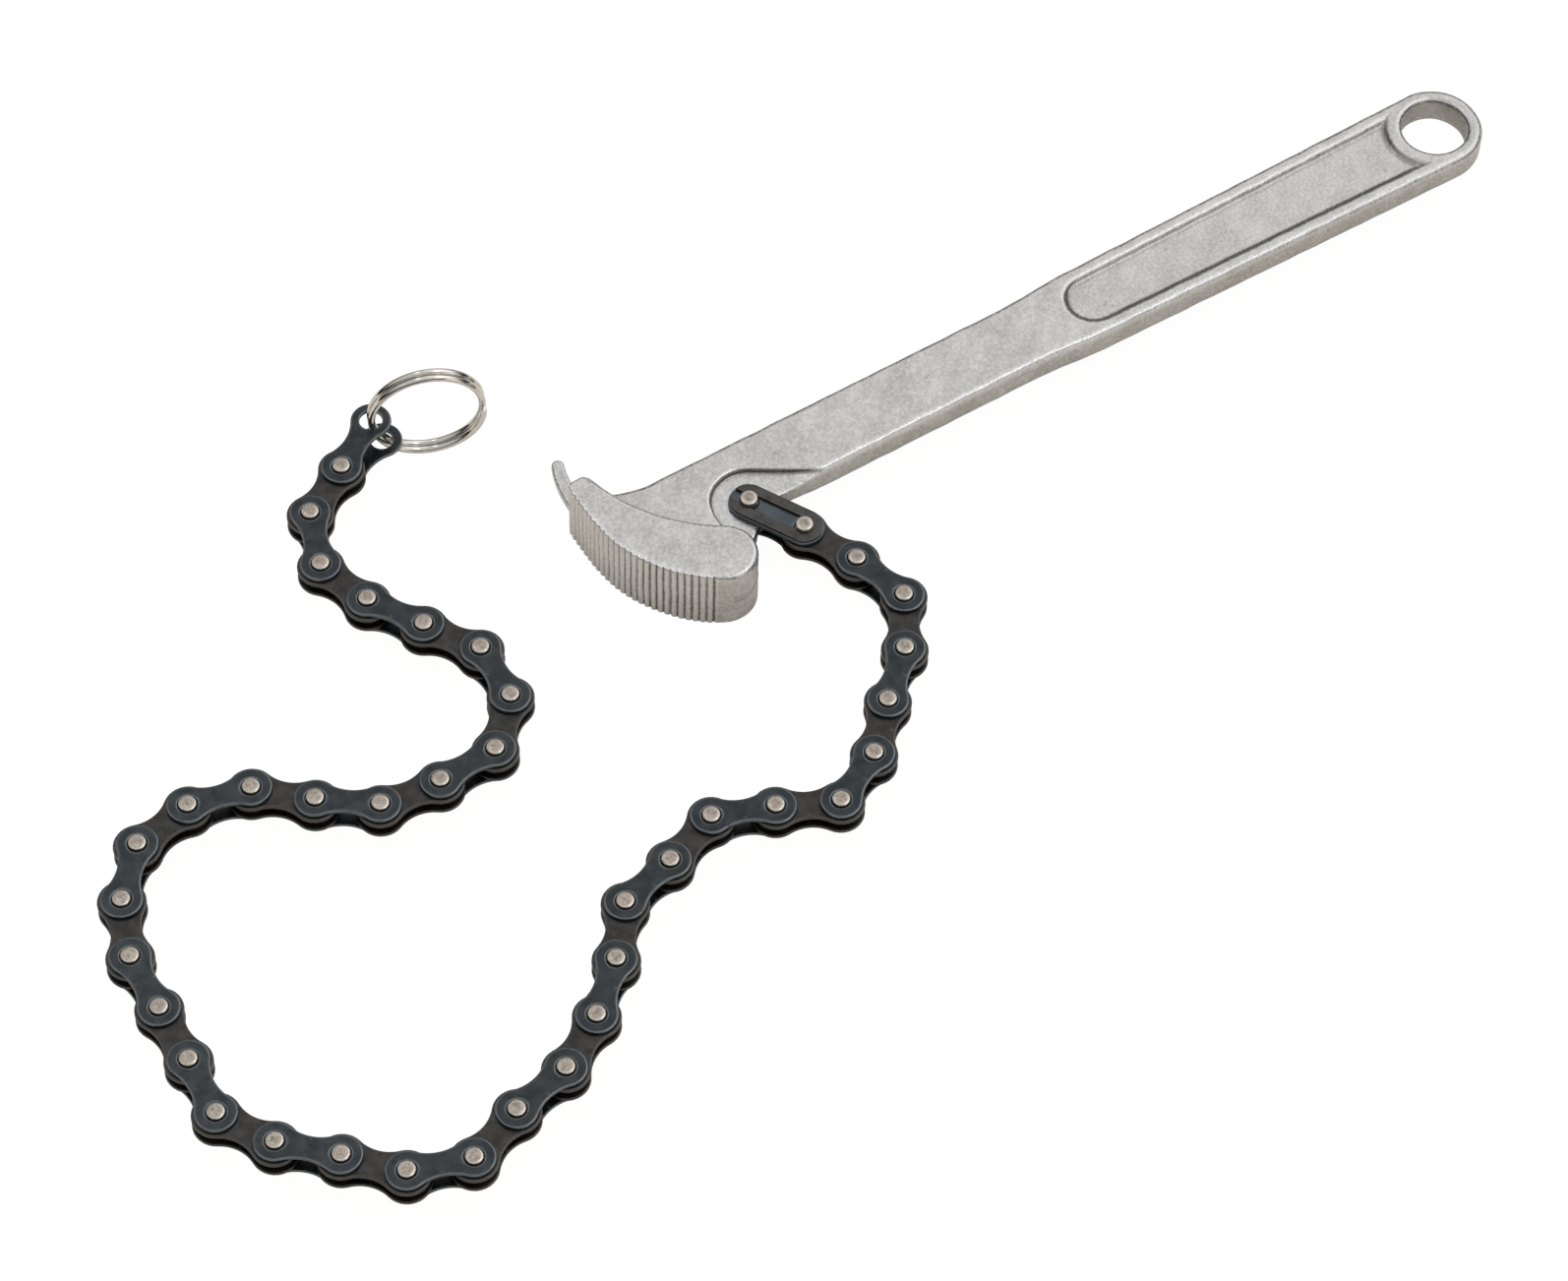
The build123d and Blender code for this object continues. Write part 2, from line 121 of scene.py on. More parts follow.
@dataclass
class Shell:
    """Closed surfaces gathered from grids of points, then welded into one mesh."""

    points: list[Array] = field(default_factory=list)
    quads: list[Array] = field(default_factory=list)
    size: int = 0

    def add_faces(self, points: Array, quads: Array) -> None:
        """Add points and the quads that join them.

        Args:
            points: Rows of three coordinates.
            quads: Rows of four point numbers, counted from this call's first point.
        """
        self.quads.append(quads + self.size)
        self.points.append(points)
        self.size += len(points)

    def add_grid(self, grid: Array, wrap: bool = False) -> None:
        """Add a surface given as rows of points.

        Args:
            grid: Rows, columns and three coordinates.
            wrap: Whether the last column joins the first.
        """
        rows, columns = grid.shape[:2]
        index = np.arange(rows * columns).reshape(rows, columns)
        if wrap:
            index = np.concatenate([index, index[:, :1]], axis=1)
        corners = [index[:-1, :-1], index[:-1, 1:], index[1:, 1:], index[1:, :-1]]
        self.add_faces(grid.reshape(-1, 3), np.stack(corners, axis=-1).reshape(-1, 4))

    def add_cap(self, loop: Array) -> None:
        """Close a loop of points with a fan from its centre."""
        centre = np.repeat(loop.mean(axis=0)[None], len(loop), axis=0)
        self.add_grid(np.stack([centre, loop]), wrap=True)

    def welded(self) -> tuple[Array, list[list[int]]]:
        """Merge points that lie together and drop the corners that this makes equal.

        Returns:
            The points and the faces, each a list of three or four point numbers.
        """
        points = np.concatenate(self.points)
        keys = np.round(points / WELD + WELD_SHIFT).astype(np.int64)
        _, first, place = np.unique(keys, axis=0, return_index=True, return_inverse=True)
        quads = place.reshape(-1)[np.concatenate(self.quads)]
        twin = quads == np.roll(quads, -1, axis=1)
        whole = quads[~twin.any(axis=1)]
        folded = twin.sum(axis=1) == 1
        triangles = quads[folded][~twin[folded]].reshape(-1, 3)
        return points[first], whole.tolist() + triangles.tolist()

    def make(self, name: str, place: "Place | None" = None, edge: float = 0.3) -> bpy.types.Object:
        """Make the mesh and its object, and mark its edges and hollows for the finish.

        Args:
            name: The piece's name.
            place: Where a piece drawn at the origin goes, if it isn't in place already.
            edge: The radius in millimetres of the rounding that counts as a full edge.

        Returns:
            The new object, at the origin, with its place in its mesh.
        """
        points, faces = self.welded()
        if place is not None:
            points = place.put(points)
        mesh = bpy.data.meshes.new(name)
        mesh.from_pydata((points * MM).tolist(), [], faces)
        work = bmesh.new()
        work.from_mesh(mesh)
        loose = [vertex for vertex in work.verts if not vertex.link_faces]
        bmesh.ops.delete(work, geom=loose, context="VERTS")
        bmesh.ops.recalc_face_normals(work, faces=work.faces[:])
        work.to_mesh(mesh)
        work.free()
        mesh.shade_smooth()
        mark_edges(mesh, edge)
        mesh.set_sharp_from_angle(angle=SHARP_ANGLE)
        return new_object(name, mesh)


def new_object(name: str, data: bpy.types.ID) -> bpy.types.Object:
    """Make an object from a mesh, a lamp's or a camera's data and put it in the scene.

    Args:
        name: The object's name.
        data: What it shows.

    Returns:
        The new object.
    """
    made = bpy.data.objects.new(name, data)
    bpy.context.scene.collection.objects.link(made)
    return made


def mark_edges(mesh: bpy.types.Mesh, edge: float) -> None:
    """Store how far each vertex stands out of its neighbours, or lies in a hollow between them.

    The bend along an edge is twice the neighbour's drop below the vertex's tangent plane over the
    squared distance, and a vertex takes the mean over its edges.

    Args:
        mesh: The mesh that gets the attributes edge and hollow, from 0 to 1.
        edge: The radius in millimetres of the rounding that counts as a full edge.
    """
    count = len(mesh.vertices)
    place = np.empty(count * 3)
    mesh.vertices.foreach_get("co", place)
    place = place.reshape(-1, 3) / MM
    normal = np.empty(count * 3)
    mesh.vertex_normals.foreach_get("vector", normal)
    normal = normal.reshape(-1, 3)
    ends = np.empty(len(mesh.edges) * 2, dtype=np.int32)
    mesh.edges.foreach_get("vertices", ends)
    start, end = ends.reshape(-1, 2).T
    step = place[end] - place[start]
    square = np.maximum((step**2).sum(axis=1), 1e-6)
    bend_start = -2 * (normal[start] * step).sum(axis=1) / square
    bend_end = 2 * (normal[end] * step).sum(axis=1) / square
    total = np.bincount(start, bend_start, count) + np.bincount(end, bend_end, count)
    number = np.bincount(start, minlength=count) + np.bincount(end, minlength=count)
    bend = 2 * edge * total / np.maximum(number, 1)
    for name, values in (("edge", bend), ("hollow", -bend)):
        layer = mesh.attributes.new(name, "FLOAT", "POINT")
        layer.data.foreach_set("value", np.clip(values, 0, 1).astype(np.float32))


@dataclass(frozen=True)
class Place:
    """A spot in the frame's plane and a heading in degrees about +Z."""

    x: float
    y: float
    heading: float

    def put(self, points: Array) -> Array:
        """Turn points drawn at the origin to the heading and move them to the spot.

        Args:
            points: Rows of three coordinates.

        Returns:
            The points in place.
        """
        turn = math.radians(self.heading)
        cos, sin = math.cos(turn), math.sin(turn)
        matrix = np.array([[cos, -sin, 0], [sin, cos, 0], [0, 0, 1]])
        return points @ matrix.T + np.array([self.x, self.y, 0])


def lathe(profile: Array, count: int) -> Array:
    """Turn a profile about +Z: each point goes round a circle of its radius at its height.

    Args:
        profile: Rows of radius and height.
        count: Points round the turn.

    Returns:
        A grid whose rows follow the profile and whose columns follow the turn.
    """
    turn = np.linspace(0, 2 * np.pi, count, endpoint=False)
    radius, height = profile[:, :1], profile[:, 1:]
    return np.stack([radius * np.cos(turn), radius * np.sin(turn), height + 0 * turn], axis=-1)


def blank_tree(owner: bpy.types.Material | bpy.types.World) -> bpy.types.NodeTree:
    """Give a material or world an empty node tree.

    Args:
        owner: The material or world.

    Returns:
        Its tree.
    """
    owner.use_nodes = True
    owner.node_tree.nodes.clear()
    return owner.node_tree


def add_node(tree: bpy.types.NodeTree, kind: str, inputs: dict | list, output: int | str = 0,
             **settings: str | bool) -> bpy.types.NodeSocket | None:
    """Add a node to a material or world.

    Args:
        tree: The node tree.
        kind: Blender's name for the node's type.
        inputs: Values or output sockets, by the input's name or number, or for the first inputs in a row.
        output: The output that is wanted, by name or number.
        **settings: The node's own properties.

    Returns:
        That output of the new node, or None where the node has no outputs.
    """
    item = tree.nodes.new(kind)
    for key, value in settings.items():
        setattr(item, key, value)
    for key, value in inputs.items() if isinstance(inputs, dict) else enumerate(inputs):
        if isinstance(value, bpy.types.NodeSocket):
            tree.links.new(value, item.inputs[key])
        else:
            item.inputs[key].default_value = value
    return item.outputs[output] if item.outputs else None


def linear(colour: str) -> tuple[float, float, float, float]:
    """Turn an sRGB colour into the linear one that Blender's sockets take.

    Args:
        colour: A hex value such as #B5B4B2.

    Returns:
        Red, green, blue and a full alpha.
    """
    parts = np.array([int(colour[start:start + 2], 16) for start in (1, 3, 5)]) / 255
    low = parts / 12.92
    high = ((parts + 0.055) / 1.055) ** 2.4
    return (*np.where(parts <= 0.04045, low, high).tolist(), 1.0)


# Where along a noise, or a pit's cell, each effect of a finish starts and is full
MOTTLE_SPAN = (0.35, 0.65)
LIGHT_GRAINS = (0.46, 0.74)
DARK_GRAINS = (0.48, 0.2)
DARK_SHARE = 0.6
WEAR_AND_HIGHLIGHT_SPAN = (0.3, 0.5)
PIT_REACH = (0.32, 0.12)
PIT_CHANCE = (0.55, 0.68)
GLOSS_SPAN = (0.3, 0.7)


@dataclass(frozen=True)
class MetalFinish:
    """A metal surface: two mottled tones, edges brighter as partly wear and partly painted highlight,
    hollows darker as painted shade, grain and pits.

    Colours are sRGB, lengths are millimetres and roughness runs from 0 to 1.
    """

    name: str
    tone: str
    second_tone: str
    edge_tone: str
    hollow_tone: str
    mottle: float
    grain: float
    grain_height: float
    smooth: float
    rough: float
    edge_share: float = 0.8
    hollow_shade_share: float = 0.8
    speckle: float = 0.0
    pit: float = 0.0
    pit_height: float = 0.0
    pit_share: float = 0.0

    def material(self) -> bpy.types.Material:
        """Make the finish's material, unless it is made already.

        Each tone covers the ones before it by its share: the second tone where the mottle is high,
        light and dark grains, the edge tone along edges as partly rubbed wear and partly a painted
        highlight, the hollow tone in hollows as painted shade, and a share of it darkening the pits.
        Grains stand up and pits sink in by their heights.

        Returns:
            The material.
        """
        if self.name in bpy.data.materials:
            return bpy.data.materials[self.name]
        material = bpy.data.materials.new(self.name)
        tree = blank_tree(material)
        where = add_node(tree, "ShaderNodeTexCoord", [], "Object")
        sizes = ((self.mottle, 4.0), (self.grain, 3.0), (3 * self.pit, 3.0))
        noises = [
            {"Vector": where, "Scale": 1 / (size * MM), "Detail": detail} for size, detail in sizes if size
        ]
        mottle, grain, *cover = [add_node(tree, "ShaderNodeTexNoise", inputs) for inputs in noises]
        shares = [(self.second_tone, add_node(tree, "ShaderNodeMapRange", [mottle, *MOTTLE_SPAN]))]
        if self.speckle:
            light = [grain, *LIGHT_GRAINS, 0.0, self.speckle]
            dark = [grain, *DARK_GRAINS, 0.0, DARK_SHARE * self.speckle]
            shares.append((self.edge_tone, add_node(tree, "ShaderNodeMapRange", light)))
            shares.append((self.hollow_tone, add_node(tree, "ShaderNodeMapRange", dark)))
        # Edges take the edge tone, broken up by the mottle: partly rubbed wear and partly a painted
        # highlight
        wear_and_highlight = [mottle, *WEAR_AND_HIGHLIGHT_SPAN, 0.5 * self.edge_share, self.edge_share]
        wear_and_highlight = add_node(tree, "ShaderNodeMapRange", wear_and_highlight)
        # Hollows take the hollow tone as painted shade
        marks = (("edge", self.edge_tone, wear_and_highlight), ("hollow", self.hollow_tone, self.hollow_shade_share))
        for name, tone, strength in marks:
            mark = add_node(tree, "ShaderNodeAttribute", [], "Fac", attribute_name=name)
            shares.append((tone, add_node(tree, "ShaderNodeMath", [mark, strength], operation="MULTIPLY")))
        height = add_node(tree, "ShaderNodeMath", [grain, self.grain_height * MM], operation="MULTIPLY")
        if self.pit:
            cell = add_node(tree, "ShaderNodeTexVoronoi", {"Vector": where, "Scale": 1 / (self.pit * MM)})
            dip, chance = [
                add_node(tree, "ShaderNodeMapRange", [value, *span])
                for value, span in ((cell, PIT_REACH), (cover[0], PIT_CHANCE))
            ]
            dip = add_node(tree, "ShaderNodeMath", [dip, chance], operation="MULTIPLY")
            # Pits also take a share of the hollow tone, which draws them darker
            pit_darkening = add_node(tree, "ShaderNodeMath", [dip, self.pit_share], operation="MULTIPLY")
            shares.append((self.hollow_tone, pit_darkening))
            sunk = [dip, -self.pit_height * MM, height]
            height = add_node(tree, "ShaderNodeMath", sunk, operation="MULTIPLY_ADD")
        colour = linear(self.tone)
        for tone, share in shares:
            blend = {0: share, 6: colour, 7: linear(tone)}
            colour = add_node(tree, "ShaderNodeMix", blend, 2, data_type="RGBA")
        bump = add_node(tree, "ShaderNodeBump", {"Height": height, "Strength": 1.0, "Distance": 1.0})
        gloss = add_node(tree, "ShaderNodeMapRange", [grain, *GLOSS_SPAN, self.smooth, self.rough])
        inputs = {"Base Color": colour, "Metallic": 1.0, "Roughness": gloss, "Normal": bump}
        shader = add_node(tree, "ShaderNodeBsdfPrincipled", inputs)
        add_node(tree, "ShaderNodeOutputMaterial", {"Surface": shader})
        return material


# Drop-forged steel, shot blasted and plated with satin nickel-chrome: a neutral silver with a fine sandy
# grain, shallow pits drawn darker, bright rims that are partly rubbed wear and partly a painted highlight,
# and painted shade in the hollows.
SATIN_FORGING = MetalFinish(
    "satin nickel-chrome plated forging", "#B5B4B2", "#A8A6A3", "#E9E9E8", "#6F6963",
    mottle=6.0, grain=0.75, grain_height=0.09, smooth=0.22, rough=0.38,
    edge_share=0.3, hollow_shade_share=0.55, speckle=0.36, pit=2.4, pit_height=0.08, pit_share=0.2,
)

# Stamped spring steel, heat blued and oiled: slate blue faces with a paler rim, partly polish and partly a
# painted highlight.
BLUED_PLATE = MetalFinish(
    "blued stamped steel plate", "#3D4042", "#313436", "#7B8186", "#191A1C",
    mottle=3.0, grain=0.30, grain_height=0.010, smooth=0.30, rough=0.46,
    edge_share=0.8, pit=1.6, pit_height=0.02, pit_share=0.35,
)

# The same blued steel, drawn paler and flatter: painted light that brightens the cover plate in the clip's
# shade.
COVER_PLATE = MetalFinish(
    "blued stamped cover plate", "#51595F", "#474E54", "#6C7379", "#1B1D1F",
    mottle=3.0, grain=0.30, grain_height=0.008, smooth=0.34, rough=0.48, edge_share=0.6,
)

# Stamped steel under black oxide and oil film: neutral, nearly black, with a softer sheen.
BLACK_PLATE = MetalFinish(
    "black oxide stamped steel plate", "#434241", "#363433", "#666361", "#141312",
    mottle=2.5, grain=0.35, grain_height=0.012, smooth=0.34, rough=0.52,
    edge_share=0.6, pit=1.4, pit_height=0.02, pit_share=0.3,
)

# Ground and blackened roller with grease on it: dark with a brown, smoother sheen.
ROLLER_STEEL = MetalFinish(
    "blackened ground roller steel", "#35302B", "#463C34", "#6B5F53", "#12100E",
    mottle=1.8, grain=0.4, grain_height=0.006, smooth=0.20, rough=0.34, edge_share=0.6,
)

# Nickel-bright pin peened over at its ends: warm light grey with crushed, mottled faces, and a painted
# highlight on the rolled rim of each dome.
PEENED_PIN = MetalFinish(
    "peened bright pin steel", "#A0968B", "#786F66", "#F2ECE2", "#4F4943",
    mottle=0.9, grain=0.35, grain_height=0.045, smooth=0.24, rough=0.42, edge_share=1.0,
    pit=0.9, pit_height=0.05, pit_share=0.5,
)

# Hardened spring clip under black oxide: black, smooth from tumbling, with a thin pale edge that is a
# painted highlight.
CLIP_STEEL = MetalFinish(
    "black tumbled spring steel", "#272625", "#201F1E", "#7A7773", "#0E0E0F",
    mottle=2.0, grain=0.3, grain_height=0.006, smooth=0.28, rough=0.40, edge_share=0.8,
)

# Drawn wire with bright nickel plate: mirror-like, with faint draw marks and small scuffs.
BRIGHT_WIRE = MetalFinish(
    "bright nickel plated wire", "#CFCBC5", "#C2BEB8", "#E2DFDA", "#8C867E",
    mottle=1.5, grain=0.6, grain_height=0.001, smooth=0.04, rough=0.09, edge_share=0.2,
)


def dress(piece: bpy.types.Object, finish: MetalFinish, body: str, slot: str, *nodes: str) -> None:
    """Give a piece its finish and its body, and report it.

    Args:
        piece: The finished piece.
        finish: Its material's recipe.
        body: The body that it rides on.
        slot: Not used.
        *nodes: The CAD nodes that it stands for.
    """
    piece.data.materials.append(finish.material())
    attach(piece, body)
    if nodes:
        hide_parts(*nodes)
    LOG.info("%s: %d faces on %s", piece.name, len(piece.data.polygons), body)


def polygon_distance(x: Array, y: Array, corners: Array) -> Array:
    """Distance to a closed polygon, negative inside.

    It is the least distance to any of its edges. A point is inside where a ray along +x crosses
    an odd number of edges.

    Args:
        x: First coordinates.
        y: Second coordinates, of the same shape.
        corners: The polygon's corners in order.

    Returns:
        The signed distances, in the shape of x.
    """
    spot = np.stack([x.ravel(), y.ravel()], axis=1)
    start = corners
    edge = np.roll(corners, -1, axis=0) - start
    reach = spot[:, None, :] - start[None]
    way = np.clip((reach * edge).sum(axis=-1) / (edge**2).sum(axis=-1), 0, 1)
    gap = reach - way[..., None] * edge
    distance = np.sqrt((gap**2).sum(axis=-1).min(axis=1))
    above = start[:, 1] > spot[:, 1:]
    crossed = above != np.roll(above, -1, axis=1)
    slope = edge[:, 0] / np.where(edge[:, 1] == 0, 1, edge[:, 1])
    inside = (crossed & (reach[..., 0] < slope * reach[..., 1])).sum(axis=1) % 2 == 1
    return np.where(inside, -distance, distance).reshape(x.shape)


def round_both(first: Array, second: Array, radius: float) -> Array:
    """Distance to what two solids share, with the edge between them rounded to a radius."""
    outside = np.hypot(np.maximum(first + radius, 0), np.maximum(second + radius, 0))
    return np.minimum(-radius, np.maximum(first, second)) + outside


def hammer(points: Array) -> Array:
    """Add the slight unevenness of a forging: long sine waves that cross, a few hundredths high.

    Args:
        points: Rows of three coordinates.

    Returns:
        The points, moved.
    """
    x, y, z = points.T
    waves = np.stack([
        np.sin(0.61 * y + 0.37 * z + 0.23 * x + 1.1) + np.sin(0.83 * z - 0.45 * y + 2.0),
        np.sin(0.55 * x + 0.31 * z + 0.4) + np.sin(0.97 * x - 0.52 * z + 1.7),
        np.sin(0.47 * x + 0.66 * y + 0.9) + np.sin(0.71 * x - 0.92 * y + 2.6),
    ], axis=1)
    return points + HAMMER_HEIGHT * waves


def surface_net(values: Array, axes: list[Array]) -> tuple[Array, Array]:
    """Skin of the solid where a field on a grid is negative.

    Each grid cell that the surface crosses gets one point, at the mean of the crossings on its
    edges, and each crossed grid edge gets one quad between the four cells round it.

    Args:
        values: The field at the grid's points.
        axes: The grid's coordinates along x, y and z.

    Returns:
        The points and the quads.
    """
    cells = tuple(size - 1 for size in values.shape)
    total = np.zeros((*cells, 3))
    number = np.zeros(cells)
    inside = values < 0
    crossings = []
    for axis in range(3):
        near = np.moveaxis(values, axis, 0)
        crossed = np.moveaxis(inside, axis, 0)
        crossed = crossed[:-1] != crossed[1:]
        gap = near[:-1] - near[1:]
        way = np.where(crossed, near[:-1] / np.where(gap == 0, 1, gap), 0)
        others = [other for other in range(3) if other != axis]
        along, one, two = axes[axis], axes[others[0]], axes[others[1]]
        spot = np.empty((*crossed.shape, 3))
        spot[..., axis] = along[:-1, None, None] + way * np.diff(along)[:, None, None]
        spot[..., others[0]] = one[None, :, None]
        spot[..., others[1]] = two[None, None, :]
        spot *= crossed[..., None]
        view = np.moveaxis(total, axis, 0)
        tally = np.moveaxis(number, axis, 0)
        for first in (slice(0, -1), slice(1, None)):
            for second in (slice(0, -1), slice(1, None)):
                view += spot[:, first, second]
                tally += crossed[:, first, second]
        crossings.append((axis, np.argwhere(crossed[:, 1:-1, 1:-1])))
    used = number > 0
    index = np.cumsum(used).reshape(cells) - 1
    points = total[used] / number[used][:, None]
    quads = []
    for axis, found in crossings:
        turned = np.moveaxis(index, axis, 0)
        i, j, k = found.T
        quads.append(np.stack([
            turned[i, j, k], turned[i, j + 1, k], turned[i, j + 1, k + 1], turned[i, j, k + 1],
        ], axis=1))
    return points, np.concatenate(quads)


@dataclass(frozen=True)
class Rim:
    """One side of a flat outline: where it runs, which way it faces, its teeth and its rounding.

    Columns of the table are x, y, the outward normal's x and y, tooth depth and edge radius.
    """

    table: Array

    @classmethod
    def of(cls, spots: Array, normals: Array, radius: float, teeth: Array | float = 0.0) -> "Rim":
        """Gather a side from its points, normals, edge radius and tooth depths."""
        extra = np.stack(np.broadcast_arrays(teeth, np.full(len(spots), radius)), axis=1)
        return cls(np.concatenate([spots, normals, extra], axis=1))

    def joined(self, other: "Rim") -> "Rim":
        """This side carried on by another, whose first point is this one's last."""
        return Rim(np.concatenate([self.table, other.table[1:]]))

    def resampled(self, count: int) -> "Rim":
        """The same side with its points evenly spaced along its length.

        Args:
            count: How many points it gets.

        Returns:
            The new side.
        """
        step = np.hypot(*np.diff(self.table[:, :2], axis=0).T)
        way = np.concatenate([[0], np.cumsum(step)])
        even = np.linspace(0, way[-1], count)
        return Rim(np.stack([np.interp(even, way, column) for column in self.table.T], axis=1))


def arc_rim(centre: Array, radius: float, start: float, end: float, count: int, rounding: float,
            hollow: bool = False) -> Rim:
    """An arc as a side of an outline, facing away from its centre, or towards it if hollow."""
    facing = polar(1.0, np.linspace(start, end, count))
    return Rim.of(np.asarray(centre) + radius * facing, -facing if hollow else facing, rounding)


def add_slab(shell: Shell, left: Rim, right: Rim, start: Rim, end: Rim, half: float,
             levels: int) -> None:
    """A flat piece with rounded edges, between two long sides and two short ones.

    The edge surface carries a quarter round, a straight wall and another quarter round along the
    outline. Each cap is the bilinear patch between its four sides: the sum of the two surfaces
    ruled between opposite sides, less the one through the corners.

    Args:
        shell: Where the surfaces go.
        left: The first long side, from the start to the end.
        right: The other long side, from the start to the end, with as many points.
        start: The short side from left to right at the start.
        end: The short side from left to right at the end, with as many points.
        half: Half the thickness.
        levels: How many rows the straight wall has.
    """
    loop = np.concatenate([
        left.table, end.table[1:-1], right.table[::-1], start.table[1:-1][::-1],
    ])
    turn = np.radians(np.linspace(90, 0, 5))[:, None]
    radius = loop[None, :, 5]
    inset = radius * (1 - np.cos(turn))
    height = half - radius * (1 - np.sin(turn))
    depth = loop[None, :, 4] * (1 - TOOTH_RUNOUT * np.sin(turn) ** 2)
    wall = np.linspace(1, -1, levels + 2)[1:-1]
    wall = np.sort(np.append(wall, [-SEAM_SHARE, SEAM_SHARE]))[::-1][:, None]
    seam = np.where(wall == 0, -SEAM_HEIGHT, 0) * (radius > SEAM_RIM)
    inset = np.concatenate([inset, seam, inset[::-1]])
    depth = np.concatenate([depth, loop[None, :, 4] + 0 * wall, depth[::-1]])
    height = np.concatenate([height, wall * (half - radius), -height[::-1]])
    flat = loop[None, :, :2] - (inset + depth)[..., None] * loop[None, :, 2:4]
    shell.add_grid(np.concatenate([flat, height[..., None]], axis=-1), wrap=True)

    count, across = len(left.table), len(start.table)
    s = np.linspace(0, 1, across)[:, None, None]
    t = np.linspace(0, 1, count)[None, :, None]
    for row in (0, -1):
        edge = flat[row]
        one = edge[:count][None]
        far = edge[count - 1:count + across - 1][:, None]
        two = edge[count + across - 2:2 * count + across - 2][::-1][None]
        near = np.concatenate([edge[2 * count + across - 3:], edge[:1]])[::-1][:, None]
        patch = (1 - s) * one + s * two + (1 - t) * near + t * far
        patch = patch - (1 - s) * ((1 - t) * one[:, :1] + t * one[:, -1:])
        patch = patch - s * ((1 - t) * two[:, :1] + t * two[:, -1:])
        level = np.full((across, count, 1), half if row == 0 else -half)
        shell.add_grid(np.concatenate([patch, level], axis=-1))


